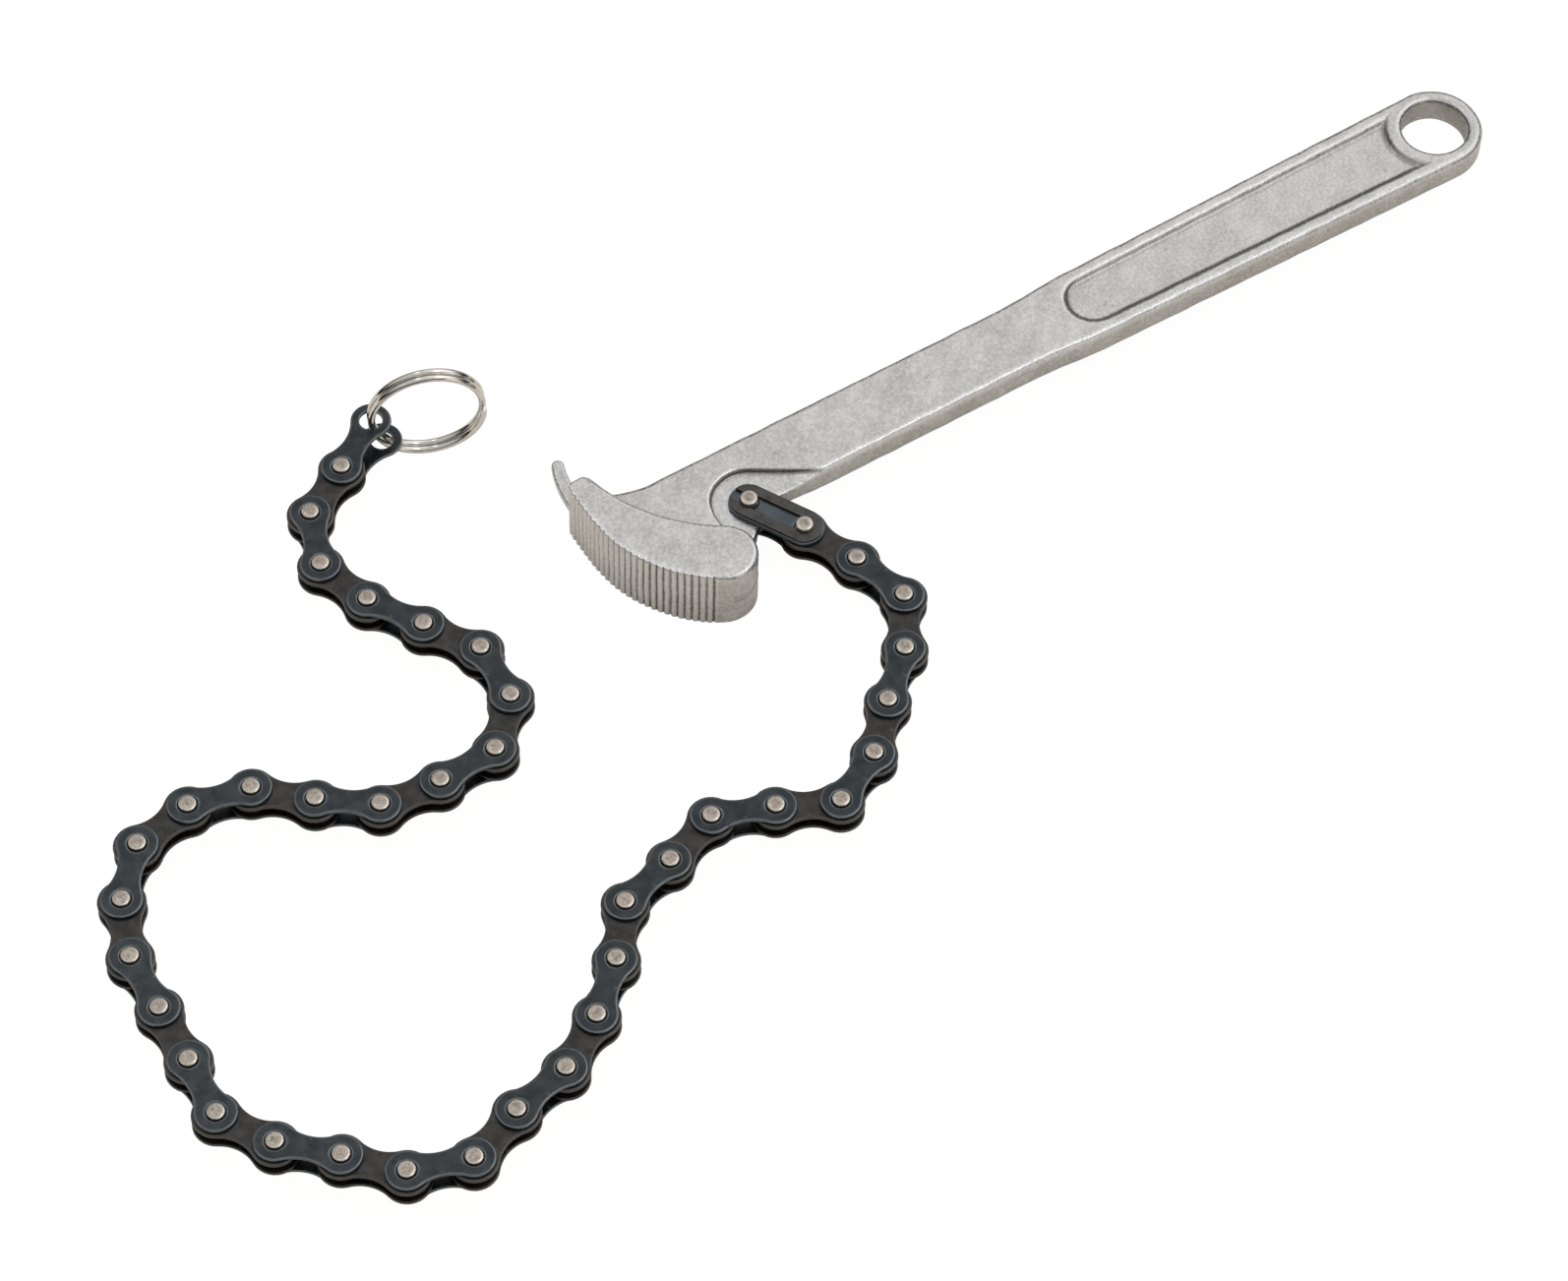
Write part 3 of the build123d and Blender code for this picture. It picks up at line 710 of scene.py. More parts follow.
@dataclass
class Forging:
    """The handle with its panel, hole, lug and pockets, the serrated jaw and the hook finger."""

    half: float = 3.4
    edge_round: float = 1.4
    hole: float = 7.0
    hole_round: float = 1.0
    end_radius: float = 10.2
    grip_length: float = 90.0
    grip_start: float = 8.9
    shoulder: float = 14.0
    shoulder_blend: float = 2.0
    shank: float = 7.9
    shank_end: float = 189.0
    back_fillet: float = 18.0
    panel_floor: float = 2.3
    panel_slope: float = 35.0
    panel_length: float = 86.8
    panel_start: float = 6.1
    panel_end: float = 7.3
    panel_foot: float = 0.55
    panel_rim: float = 0.45
    hole_land: float = 3.0
    pivot: tuple[float, float] = (-174.4, -6.3)
    lug_radius: float = 5.0
    web_reach: float = 7.4
    web_angles: tuple[float, float] = (250.0, 262.0)
    nose_join: float = 10.0
    flat_joint: float = -110.0
    head_start: float = -150.0
    jaw_start: float = -145.0
    lug_fillet: float = 2.5
    lug_half: float = 1.99
    bore: float = 1.88
    pocket_radius: float = 7.7
    pocket_rise: float = 1.0
    rise_end: float = 19.0
    pocket_foot: float = 0.5
    pocket_rim: float = 0.5
    pocket_overrun: float = 3.2
    pocket_end: tuple[float, float] = (-158.8, -7.0)
    jaw_half: float = 8.0
    face_radius: float = 31.0
    face_centre: tuple[float, float] = (-174.5, 4.0)
    face_end: float = 240.0
    face_flat: float = 9.2
    nose_radius: float = 6.6
    nose_angles: tuple[float, float] = (285.0, 365.0)
    back_radius: float = 39.1
    tip_width: float = 5.0
    tip_rise: float = 0.4
    tip_round: float = 1.0
    corner_round: float = 1.9
    tooth_pitch: float = 1.5
    tooth_depth: float = 0.6
    tooth_free: float = 1.0
    tooth_power: float = 1.3
    tooth_spread: tuple[float, float] = (0.8, 1.08)
    toothed_end: tuple[float, float] = (28.0, 36.0)
    face_rim: float = 0.3
    jaw_rim: float = 1.0
    tip_rim: float = 0.6
    wall_foot: float = 2.2
    finger_root: tuple[float, float] = (0.4, -2.0)
    finger_reach: tuple[float, float] = (3.7, 10.6)
    finger_width: float = 3.6
    finger_half: float = 1.1
    finger_radius: float = 1.3
    finger_lean: float = 18.0
    finger_bow: float = 0.7
    finger_rim: float = 0.5
    cell: tuple[float, float, float] = (0.45, 0.36, 0.4)
    net_start: float = -206.0
    net_margins: tuple[float, float] = (1.0, 2.0)
    net_height: float = 6.5
    net_shift: float = 0.013
    net_step: float = 0.02
    net_limit: float = 0.2
    least_slope: float = 0.2

    def __post_init__(self) -> None:
        """Work out the centres that the outline hangs on."""
        self.face = np.array(self.face_centre)
        self.lug = np.array(self.pivot)
        self.nose = self.face + polar(self.face_radius - self.nose_radius, self.face_end)
        self.tip_front = self.face + np.array([-self.face_radius, self.face_flat])
        self.tip_back = self.tip_front + np.array([self.tip_width, self.tip_rise])
        self.back = self.meeting(self.nose, self.back_radius + self.nose_radius,
                                 self.tip_back, self.back_radius)
        drop = -self.shank - self.lug_fillet
        reach = math.sqrt((self.lug_radius + self.lug_fillet) ** 2 - (drop - self.lug[1]) ** 2)
        self.hollow = np.array([self.lug[0] + reach, drop])

    @staticmethod
    def meeting(first: Array, first_radius: float, second: Array, second_radius: float) -> Array:
        """Where two circles cross, on the right of the way from the first centre to the second.

        Args:
            first: The first centre.
            first_radius: Its circle's radius.
            second: The second centre.
            second_radius: Its circle's radius.

        Returns:
            The point.
        """
        span = second - first
        length = np.hypot(*span)
        along = (first_radius**2 - second_radius**2 + length**2) / (2 * length)
        side = math.sqrt(first_radius**2 - along**2)
        unit = span / length
        return first + unit * along + np.array([unit[1], -unit[0]]) * side

    def head_outline(self) -> Array:
        """The flat web's outline round the lug and behind the jaw, from the shank and back.

        Returns:
            The closed polygon's corners.
        """
        corner = np.array([-self.shank_end, self.shank + self.back_fillet])
        deep = self.tip_back[0]
        top = math.degrees(math.acos((deep - corner[0]) / self.back_fillet))
        turn = bearing(self.lug - self.hollow)
        web_angle, lug_start = self.web_angles
        return np.concatenate([
            [[self.flat_joint, self.shank]],
            arc(corner, self.back_fillet, 270, 360 - top, 24),
            [[self.tip_front[0] + self.tip_width / 2, self.face[1]], self.nose],
            [self.nose + polar(self.nose_radius, self.nose_join)],
            [self.lug + polar(self.web_reach, web_angle)],
            arc(self.lug, self.lug_radius, lug_start, turn + 180, 24),
            arc(self.hollow, self.lug_fillet, turn, 90, 8)[1:],
            [[self.flat_joint, -self.shank]],
        ])

    def outline(self, x: Array, y: Array) -> Array:
        """Distance to the flat outline: half widths along the grip, a round end, the head's polygon.

        Args:
            x: First coordinates.
            y: Second coordinates, of the same shape.

        Returns:
            The signed distances.
        """
        slope, blend = (self.end_radius - self.grip_start) / self.grip_length, self.shoulder_blend
        start = self.grip_start + slope * blend
        shoulder = ramp(-x, self.grip_length - blend, self.grip_length + self.shoulder + blend)
        taper = self.grip_start + slope * (x + self.grip_length)
        width = np.where(x > blend - self.grip_length, taper, start + (self.shank - start) * shoulder)
        side = np.where(x > 0, np.hypot(x, y) - self.end_radius, np.abs(y) - width)
        head = x < self.head_start
        if head.any():
            side[head] = polygon_distance(x[head], y[head], self.head_outline())
        return side

    def panel(self, x: Array, y: Array) -> Array:
        """Distance to the grip's recess, round at its start and cut hollow round the hole.

        Args:
            x: First coordinates.
            y: Second coordinates, of the same shape.

        Returns:
            The signed distances.
        """
        way = (x + self.panel_length) / (self.panel_length - self.hole)
        width = self.panel_start + (self.panel_end - self.panel_start) * way
        round_start = np.hypot(x + self.panel_length, y) - self.panel_start
        side = np.where(x < -self.panel_length, round_start, np.abs(y) - width)
        return np.maximum(side, self.hole + self.hole_land - np.hypot(x, y))

    def pocket(self, x: Array, y: Array) -> Array:
        """Distance to the pocket beside the lug: a disc and the wedge towards the shank's edge.

        Args:
            x: First coordinates.
            y: Second coordinates, of the same shape.

        Returns:
            The signed distances.
        """
        end = np.array(self.pocket_end)
        span = end - self.lug
        opening = math.degrees(math.acos(self.pocket_radius / np.hypot(*span)))
        touch = self.lug + polar(self.pocket_radius, bearing(span) + opening)
        below = self.nose[1] - self.nose_radius
        left = self.lug[0] - self.pocket_radius
        out = end + self.pocket_overrun * (end - touch) / np.hypot(*(end - touch))
        wedge = np.array([
            touch, out, [out[0], below], [left, below], [left, self.lug[1]], self.lug,
        ])
        disc = np.hypot(x - self.lug[0], y - self.lug[1]) - self.pocket_radius
        return np.minimum(polygon_distance(x, y, wedge), disc)

    def jaw_loop(self) -> Array:
        """The jaw's outline without its teeth.

        Returns:
            The closed polygon's corners.
        """
        left, right, start, end = self.jaw_rims(60, 8)
        rims = [left.table, end.table[1:-1], right.table[::-1], start.table[1:-1][::-1]]
        return np.concatenate(rims)[:, :2]

    def plan(self, x: Array, y: Array) -> dict[str, Array]:
        """All the distances that don't depend on height, and the half thickness there.

        Args:
            x: First coordinates.
            y: Second coordinates, of the same shape.

        Returns:
            The values by name, each in the shape of x.
        """
        far = np.full(x.shape, 50.0)
        pocket, wall = far.copy(), far.copy()
        near = x < self.jaw_start
        if near.any():
            pocket[near] = self.pocket(x[near], y[near])
            wall[near] = polygon_distance(x[near], y[near], self.jaw_loop())
        foot = self.wall_foot
        rise = foot - np.sqrt(foot**2 - (foot - np.clip(wall, 0, foot)) ** 2)
        away = np.hypot(x - self.lug[0], y - self.lug[1])
        climb = ramp(away, self.pocket_radius + self.pocket_foot, self.rise_end)
        return {
            "floor": self.lug_half + self.pocket_rise * climb,
            "outline": self.outline(x, y),
            "panel": self.panel(x, y),
            "pocket": pocket,
            "hole": self.hole - np.hypot(x, y),
            "bore": self.bore - away,
            "half": self.half + rise,
        }

    def solid(self, plan: dict[str, Array], z: Array) -> Array:
        """Distance to the flat forging: the rounded plate less its recesses, hole and bore.

        Args:
            plan: What plan gives.
            z: Heights, of a shape that goes with the plan's.

        Returns:
            The signed distances.
        """
        height = np.abs(z)
        body = round_both(plan["outline"], height - plan["half"], self.edge_round)
        slope = math.radians(self.panel_slope)
        wall = (plan["panel"] + math.tan(slope) * (self.half - height)) * math.cos(slope)
        sunk = round_both(self.panel_floor - height, wall, self.panel_foot)
        body = round_both(body, -sunk, self.panel_rim)
        pocket = round_both(plan["pocket"], plan["floor"] - height, self.pocket_foot)
        body = round_both(body, -pocket, self.pocket_rim)
        body = round_both(body, plan["hole"] + 0 * height, self.hole_round)
        return np.maximum(body, plan["bore"] + 0 * height)

    def add_flat(self, shell: Shell) -> None:
        """The flat forging's skin: a net over its distance field, drawn onto the true surface.

        Each point moves by its distance along the field's slope, three times over.

        Args:
            shell: Where the skin goes.
        """
        past_end, past_side = self.net_margins
        low = (self.net_start, self.nose[1] - past_side, -self.net_height)
        high = (self.end_radius + past_end, self.tip_back[1] + past_side, self.net_height)
        axes = [np.arange(a, b, step) + self.net_shift for a, b, step in zip(low, high, self.cell)]
        x, y = np.meshgrid(axes[0], axes[1], indexing="ij")
        plan = {name: part[..., None] for name, part in self.plan(x, y).items()}
        points, quads = surface_net(self.solid(plan, axes[2][None, None, :]), axes)
        step, limit = self.net_step, self.net_limit
        for _ in range(3):
            values = self.at(points)
            slope = np.stack([
                (self.at(points + move) - self.at(points - move)) / (2 * step)
                for move in step * np.eye(3)
            ], axis=1)
            square = np.maximum((slope**2).sum(axis=1), self.least_slope)
            move = -(values / square)[:, None] * slope
            points = points + np.clip(move, -limit, limit)
        shell.add_faces(hammer(points), quads)

    def at(self, points: Array) -> Array:
        """The flat forging's distance at any points."""
        x, y, z = points.T
        return self.solid(self.plan(x, y), z)

    def tooth(self, way: Array) -> Array:
        """Depth of the teeth at a way down the working face from where it starts to curve.

        Each is a round land between two sharp grooves: depth times the power 1.3 of one less the
        size of a cosine with a half period of one pitch, and each groove is a little different.

        Args:
            way: Lengths along the face, negative on its flat part.

        Returns:
            The depths.
        """
        first = -(self.face_flat - self.tip_round)
        run = math.radians(self.face_end - 180) * self.face_radius
        count = int((self.face_flat - self.tip_round + run - self.tooth_free) / self.tooth_pitch)
        phase = (way - first) / self.tooth_pitch
        number = np.clip(np.floor(phase), 0, count - 1).astype(int)
        uneven = np.random.default_rng(7).uniform(*self.tooth_spread, count)
        groove = (1 - np.abs(np.cos(np.pi * phase))) ** self.tooth_power
        return np.where((phase > 0) & (phase < count), self.tooth_depth * uneven[number] * groove, 0)

    def jaw_rims(self, count: int, across: int) -> tuple[Rim, Rim, Rim, Rim]:
        """The jaw's working side, back side, tip and nose.

        Args:
            count: Points along each long side.
            across: Points along the tip and along the nose.

        Returns:
            The left, right, start and end sides that add_slab takes.
        """
        tip = self.tip_back - self.tip_front
        up = np.array([-tip[1], tip[0]]) / np.hypot(*tip)
        along = tip / np.hypot(*tip)
        under = self.tip_front - self.corner_round * up
        front_x = self.tip_front[0] + self.corner_round
        front = np.array([front_x, under[1] + (front_x - under[0]) * along[1] / along[0]])
        reach = self.back - under
        middle = reach @ along
        back = under + along * (middle - math.sqrt(
            (self.back_radius + self.corner_round) ** 2 - (reach @ up) ** 2))
        tip_angle = bearing(up)
        front_split = (180 + tip_angle) / 2
        back_facing = bearing(self.back - back)
        back_split = (tip_angle + back_facing) / 2
        nose_turn = bearing(self.back - self.nose) + 360
        rim = self.jaw_rim
        nose_low, nose_side = self.nose_angles

        face_top = self.face + np.array([-self.face_radius, 0])
        drop = np.linspace(front[1] - face_top[1], 0, 40)[:, None]
        flat = Rim.of(face_top + drop * [0, 1], np.tile([-1.0, 0.0], (40, 1)), self.face_rim)
        left = arc_rim(front, self.corner_round, front_split, 180, 8, self.face_rim).joined(flat)
        left = left.joined(arc_rim(self.face, self.face_radius, 180, self.face_end, 240, self.face_rim))
        left = left.joined(arc_rim(self.nose, self.nose_radius, self.face_end, nose_low, 24, rim))
        left = left.resampled(count)
        spot = left.table[:, :2] - self.face
        angle = np.degrees(np.arctan2(spot[:, 1], spot[:, 0])) % 360
        on_arc = math.radians(1) * (angle - 180) * self.face_radius
        left.table[:, 4] = self.tooth(np.where(spot[:, 1] > 0, -spot[:, 1], on_arc))
        toothed = ramp(on_arc, *self.toothed_end)
        left.table[:, 5] = self.face_rim + (rim - self.face_rim) * np.where(spot[:, 1] > 0, 0, toothed)

        end = arc_rim(self.nose, self.nose_radius, nose_low, nose_side, across, rim)
        right = arc_rim(back, self.corner_round, back_split, back_facing, 8, rim)
        back_start = (back_facing + 180) % 360
        back_end = bearing(self.nose - self.back) % 360
        right = right.joined(
            arc_rim(self.back, self.back_radius, back_start, back_end, 160, rim, hollow=True))
        right = right.joined(arc_rim(self.nose, self.nose_radius, nose_turn, nose_side, 24, rim))
        right = right.resampled(count)

        start = arc_rim(front, self.corner_round, front_split, tip_angle, 4, self.tip_rim)
        top = np.linspace(front, back, 4) + self.corner_round * up
        top = Rim.of(top, np.tile(up, (4, 1)), self.tip_rim)
        start = start.joined(top)
        start = start.joined(arc_rim(back, self.corner_round, tip_angle, back_split, 4, self.tip_rim))
        start = start.resampled(across)
        start.table[0] = left.table[0]
        start.table[-1] = right.table[0]
        end.table[0] = left.table[-1]
        end.table[-1] = right.table[-1]
        return left, right, start, end

    def finger_rims(self) -> tuple[Rim, Rim, Rim, Rim]:
        """The hook finger's two bowed sides, parabolas through three points, its root and round tip.

        Returns:
            The left, right, start and end sides that add_slab takes.
        """
        radius, lean, rim = self.finger_radius, self.finger_lean, self.finger_rim
        root = self.tip_front + self.finger_root
        across = root + [self.finger_width, 0]
        tip = self.tip_front + self.finger_reach - [0, radius]
        t = np.linspace(0, 1, 20)[:, None]
        sides = []
        for first, angle, sign in ((root, 180 - lean, -1), (across, -lean, 1)):
            last = tip + polar(radius, angle)
            middle = (first + last) / 2 - [2 * self.finger_bow, 0]
            spots = (1 - t) ** 2 * first + 2 * t * (1 - t) * middle + t**2 * last
            heading = 2 * (1 - t) * (middle - first) + 2 * t * (last - middle)
            heading /= np.hypot(*heading.T)[:, None]
            facing = sign * np.stack([heading[:, 1], -heading[:, 0]], axis=1)
            bend = arc_rim(tip, radius, angle, 90 - lean - sign * 45, 6, rim)
            sides.append(Rim.of(spots, facing, rim).joined(bend))
        start = Rim.of(np.linspace(root, across, 6), np.tile([0.0, -1.0], (6, 1)), rim)
        return *sides, start, arc_rim(tip, radius, 135 - lean, 45 - lean, 6, rim)

    def build(self) -> None:
        """Make the forging and give it its satin plating."""
        shell = Shell()
        self.add_flat(shell)
        slabs = ((self.jaw_rims(330, 12), self.jaw_half, 9), (self.finger_rims(), self.finger_half, 2))
        for rims, half, levels in slabs:
            solid = Shell()
            add_slab(solid, *rims, half, levels)
            shell.add_faces(hammer(np.concatenate(solid.points)), np.concatenate(solid.quads))
        piece = shell.make("forged_wrench", edge=0.9)
        dress(piece, SATIN_FORGING, "wrench_body", "plated_forging", "wrench_body")


@dataclass(frozen=True)
class Plate:
    """A stamped chain plate, from the hole at the origin to the one a pitch away along +X."""

    end_radius: float
    waist: float
    holes: tuple[float, float]
    flank: Flank = Flank.WAISTED
    pitch: float = 12.7
    thick: float = 0.8
    outer_edge: float = 0.28
    inner_edge: float = 0.12
    hole_share: float = 0.5
    cap_rows: tuple[float, ...] = (0, 0.12, 0.88, 1)

    def half_outline(self) -> tuple[Array, Array]:
        """The outline's left half and its outward normals, from the upper middle to the lower.

        A waisted plate's side is an arc about a point outside it that meets the round end
        smoothly. A straight plate's side is a line.

        Returns:
            The points and the normals.
        """
        middle = self.pitch / 2
        if self.flank is Flank.WAISTED:
            drop = middle**2 + self.waist**2 - self.end_radius**2
            hollow = drop / (2 * (self.end_radius - self.waist))
            centre = np.array([middle, self.waist + hollow])
            meet = bearing(centre)
            facing = polar(1.0, np.linspace(270, meet + 180, 8))
            side, side_normal = centre + hollow * facing, -facing
        else:
            meet = 90.0
            side = np.stack([np.linspace(middle, 0, 5), np.full(5, self.end_radius)], axis=1)
            side_normal = np.tile([0.0, 1.0], (5, 1))
        end_normal = polar(1.0, np.linspace(meet, 360 - meet, 23))[1:-1]
        spots = np.concatenate([side, self.end_radius * end_normal, (side * [1, -1])[::-1]])
        normals = np.concatenate([side_normal, end_normal, (side_normal * [1, -1])[::-1]])
        return spots, normals

    def section(self, share: float) -> Array:
        """A wall's profile: a quarter round below the upper face and a smaller one above the lower.

        Args:
            share: The part of the plate's own edge rounding that the wall has.

        Returns:
            Rows of inset and level, from the upper face to the lower.
        """
        quarter = share * np.array([(1, 0), (BEND, BEND), (0, 1)])
        upper = self.outer_edge * quarter * [1, -1] + [0, self.thick]
        return np.concatenate([upper, self.inner_edge * quarter[::-1]])

    def add_half(self, shell: Shell, base: float, hole: float, height: Height, mirrored: bool) -> None:
        """One half of the plate: two caps ruled from hole to outline, the edge and the hole's wall.

        Args:
            shell: Where the surfaces go.
            base: How far the plate's lower face is from the middle plane.
            hole: The hole's radius.
            height: The side of the middle plane that the plate is on.
            mirrored: Whether it is the half round the second hole.
        """
        spots, normals = self.half_outline()
        side, wall = self.section(1.0), self.section(self.hole_share)
        surfaces = [(np.stack([self.lift(spots - inset * normals, level) for inset, level in side]), False)]
        tube = []
        for face, rows in ((0, wall[:3]), (-1, wall[3:])):
            inset, level = side[face]
            rim = spots - inset * normals
            loop = np.concatenate([rim, np.linspace(rim[-1], rim[0], 5)[1:-1]])
            unit = loop / np.hypot(*loop.T)[:, None]
            inner = (hole + wall[face][0]) * unit
            cap = [self.lift(inner + share * (loop - inner), level) for share in self.cap_rows]
            surfaces.append((np.stack(cap), True))
            tube += [self.lift((hole + inset) * unit, level) for inset, level in rows]
        surfaces.append((np.stack(tube), True))
        for grid, wrap in surfaces:
            grid = grid + np.array([0, 0, base])
            if mirrored:
                grid = grid * [-1, 1, 1] + [self.pitch, 0, 0]
            shell.add_grid(grid * [1, 1, height.value], wrap)

    @staticmethod
    def lift(spots: Array, level: float) -> Array:
        """Plane points raised to a level."""
        return np.concatenate([spots, np.full((len(spots), 1), level)], axis=1)

    def add(self, shell: Shell, base: float, height: Height) -> None:
        """The whole plate, its lower face at a height above the middle plane, or mirrored below."""
        self.add_half(shell, base, self.holes[0], height, False)
        self.add_half(shell, base, self.holes[1], height, True)


@dataclass(frozen=True)
class Chain:
    """Sizes and parts that the chain's links share."""

    pitch: float = 12.7
    inner_base: float = 1.19
    outer_base: float = 2.09
    plate_end: float = 4.15
    plate_waist: float = 2.5
    pin_top: float = 3.56
    pin_radius: float = 1.8
    pin_hole: float = 2.02
    bush_radius: float = 2.5
    bush_bore: float = 1.88
    bush_half: float = 1.99
    roller_radius: float = 3.875
    roller_bore: float = 2.58
    roller_half: float = 1.13
    tube_edge: float = 0.22
    tube_bend: float = 0.066

    def outer_plate(self) -> Plate:
        """The waisted plate of the outer links."""
        return Plate(self.plate_end, self.plate_waist, (self.pin_hole, self.pin_hole))

    def inner_plate(self) -> Plate:
        """The larger waisted plate of the inner links."""
        return Plate(4.75, 3.0, (self.bush_radius, self.bush_radius), outer_edge=0.2)

    def head(self, top: float) -> Array:
        """Profile of a peened pin end: a shallow dome that rolls over into the side.

        Args:
            top: The dome's height above the middle plane.

        Returns:
            Rows of radius and height, from the axis out.
        """
        radius = self.pin_radius
        steps = [(0, 0), (0.45, 0.01), (0.78, 0.05), (0.91, 0.12), (0.975, 0.23), (1, 0.4)]
        return np.array([(share * radius, top - fall) for share, fall in steps])

    def add_pin(self, shell: Shell, x: float) -> None:
        """A riveted pin across the chain.

        Args:
            shell: Where the surface goes.
            x: The pin's place along the link.
        """
        upper = self.head(self.pin_top)
        profile = np.concatenate([upper, (upper * [1, -1])[::-1]])
        shell.add_grid(lathe(profile, 24) + np.array([x, 0, 0]), wrap=True)

    def add_tube(self, shell: Shell, x: float, outer: float, inner: float, half: float) -> None:
        """A short tube with broken edges: a bush or a roller.

        Args:
            shell: Where the surface goes.
            x: The tube's place along the link.
            outer: Its outer radius.
            inner: Its inner radius.
            half: Half its length.
        """
        edge, bend = self.tube_edge, self.tube_bend
        upper = np.array([
            (inner, half), (outer - edge, half), (outer - bend, half - bend),
            (outer, half - edge), (outer, 0),
        ])
        profile = np.concatenate([upper, (upper * [1, -1])[::-1], upper[:1]])
        shell.add_grid(lathe(profile, 28) + np.array([x, 0, 0]), wrap=True)


@dataclass
class OuterLink:
    """Two blued plates riveted on two pins."""

    chain: Chain
    node: str
    place: Place

    def build(self) -> None:
        """Make the plates and the pins and give them their finishes."""
        plates, pins = Shell(), Shell()
        for height in Height:
            self.chain.outer_plate().add(plates, self.chain.outer_base, height)
        for x in (0, self.chain.pitch):
            self.chain.add_pin(pins, x)
        piece = plates.make(self.node + "_plates", self.place)
        dress(piece, BLUED_PLATE, self.node, "outer_plate_steel", self.node)
        dress(pins.make(self.node + "_pins", self.place), PEENED_PIN, self.node, "pin_steel")


@dataclass
class InnerLink:
    """Two black plates on two bushes, each with a loose roller."""

    chain: Chain
    node: str
    place: Place

    def build(self) -> None:
        """Make the plates, bushes and rollers and give them their finishes."""
        plates, rollers = Shell(), Shell()
        chain = self.chain
        for height in Height:
            chain.inner_plate().add(plates, chain.inner_base, height)
        for x in (0, chain.pitch):
            chain.add_tube(rollers, x, chain.bush_radius, chain.bush_bore, chain.bush_half)
            chain.add_tube(rollers, x, chain.roller_radius, chain.roller_bore, chain.roller_half)
        piece = plates.make(self.node + "_plates", self.place)
        dress(piece, BLACK_PLATE, self.node, "inner_link_steel", self.node)
        piece = rollers.make(self.node + "_rollers", self.place)
        dress(piece, ROLLER_STEEL, self.node, "inner_link_steel")


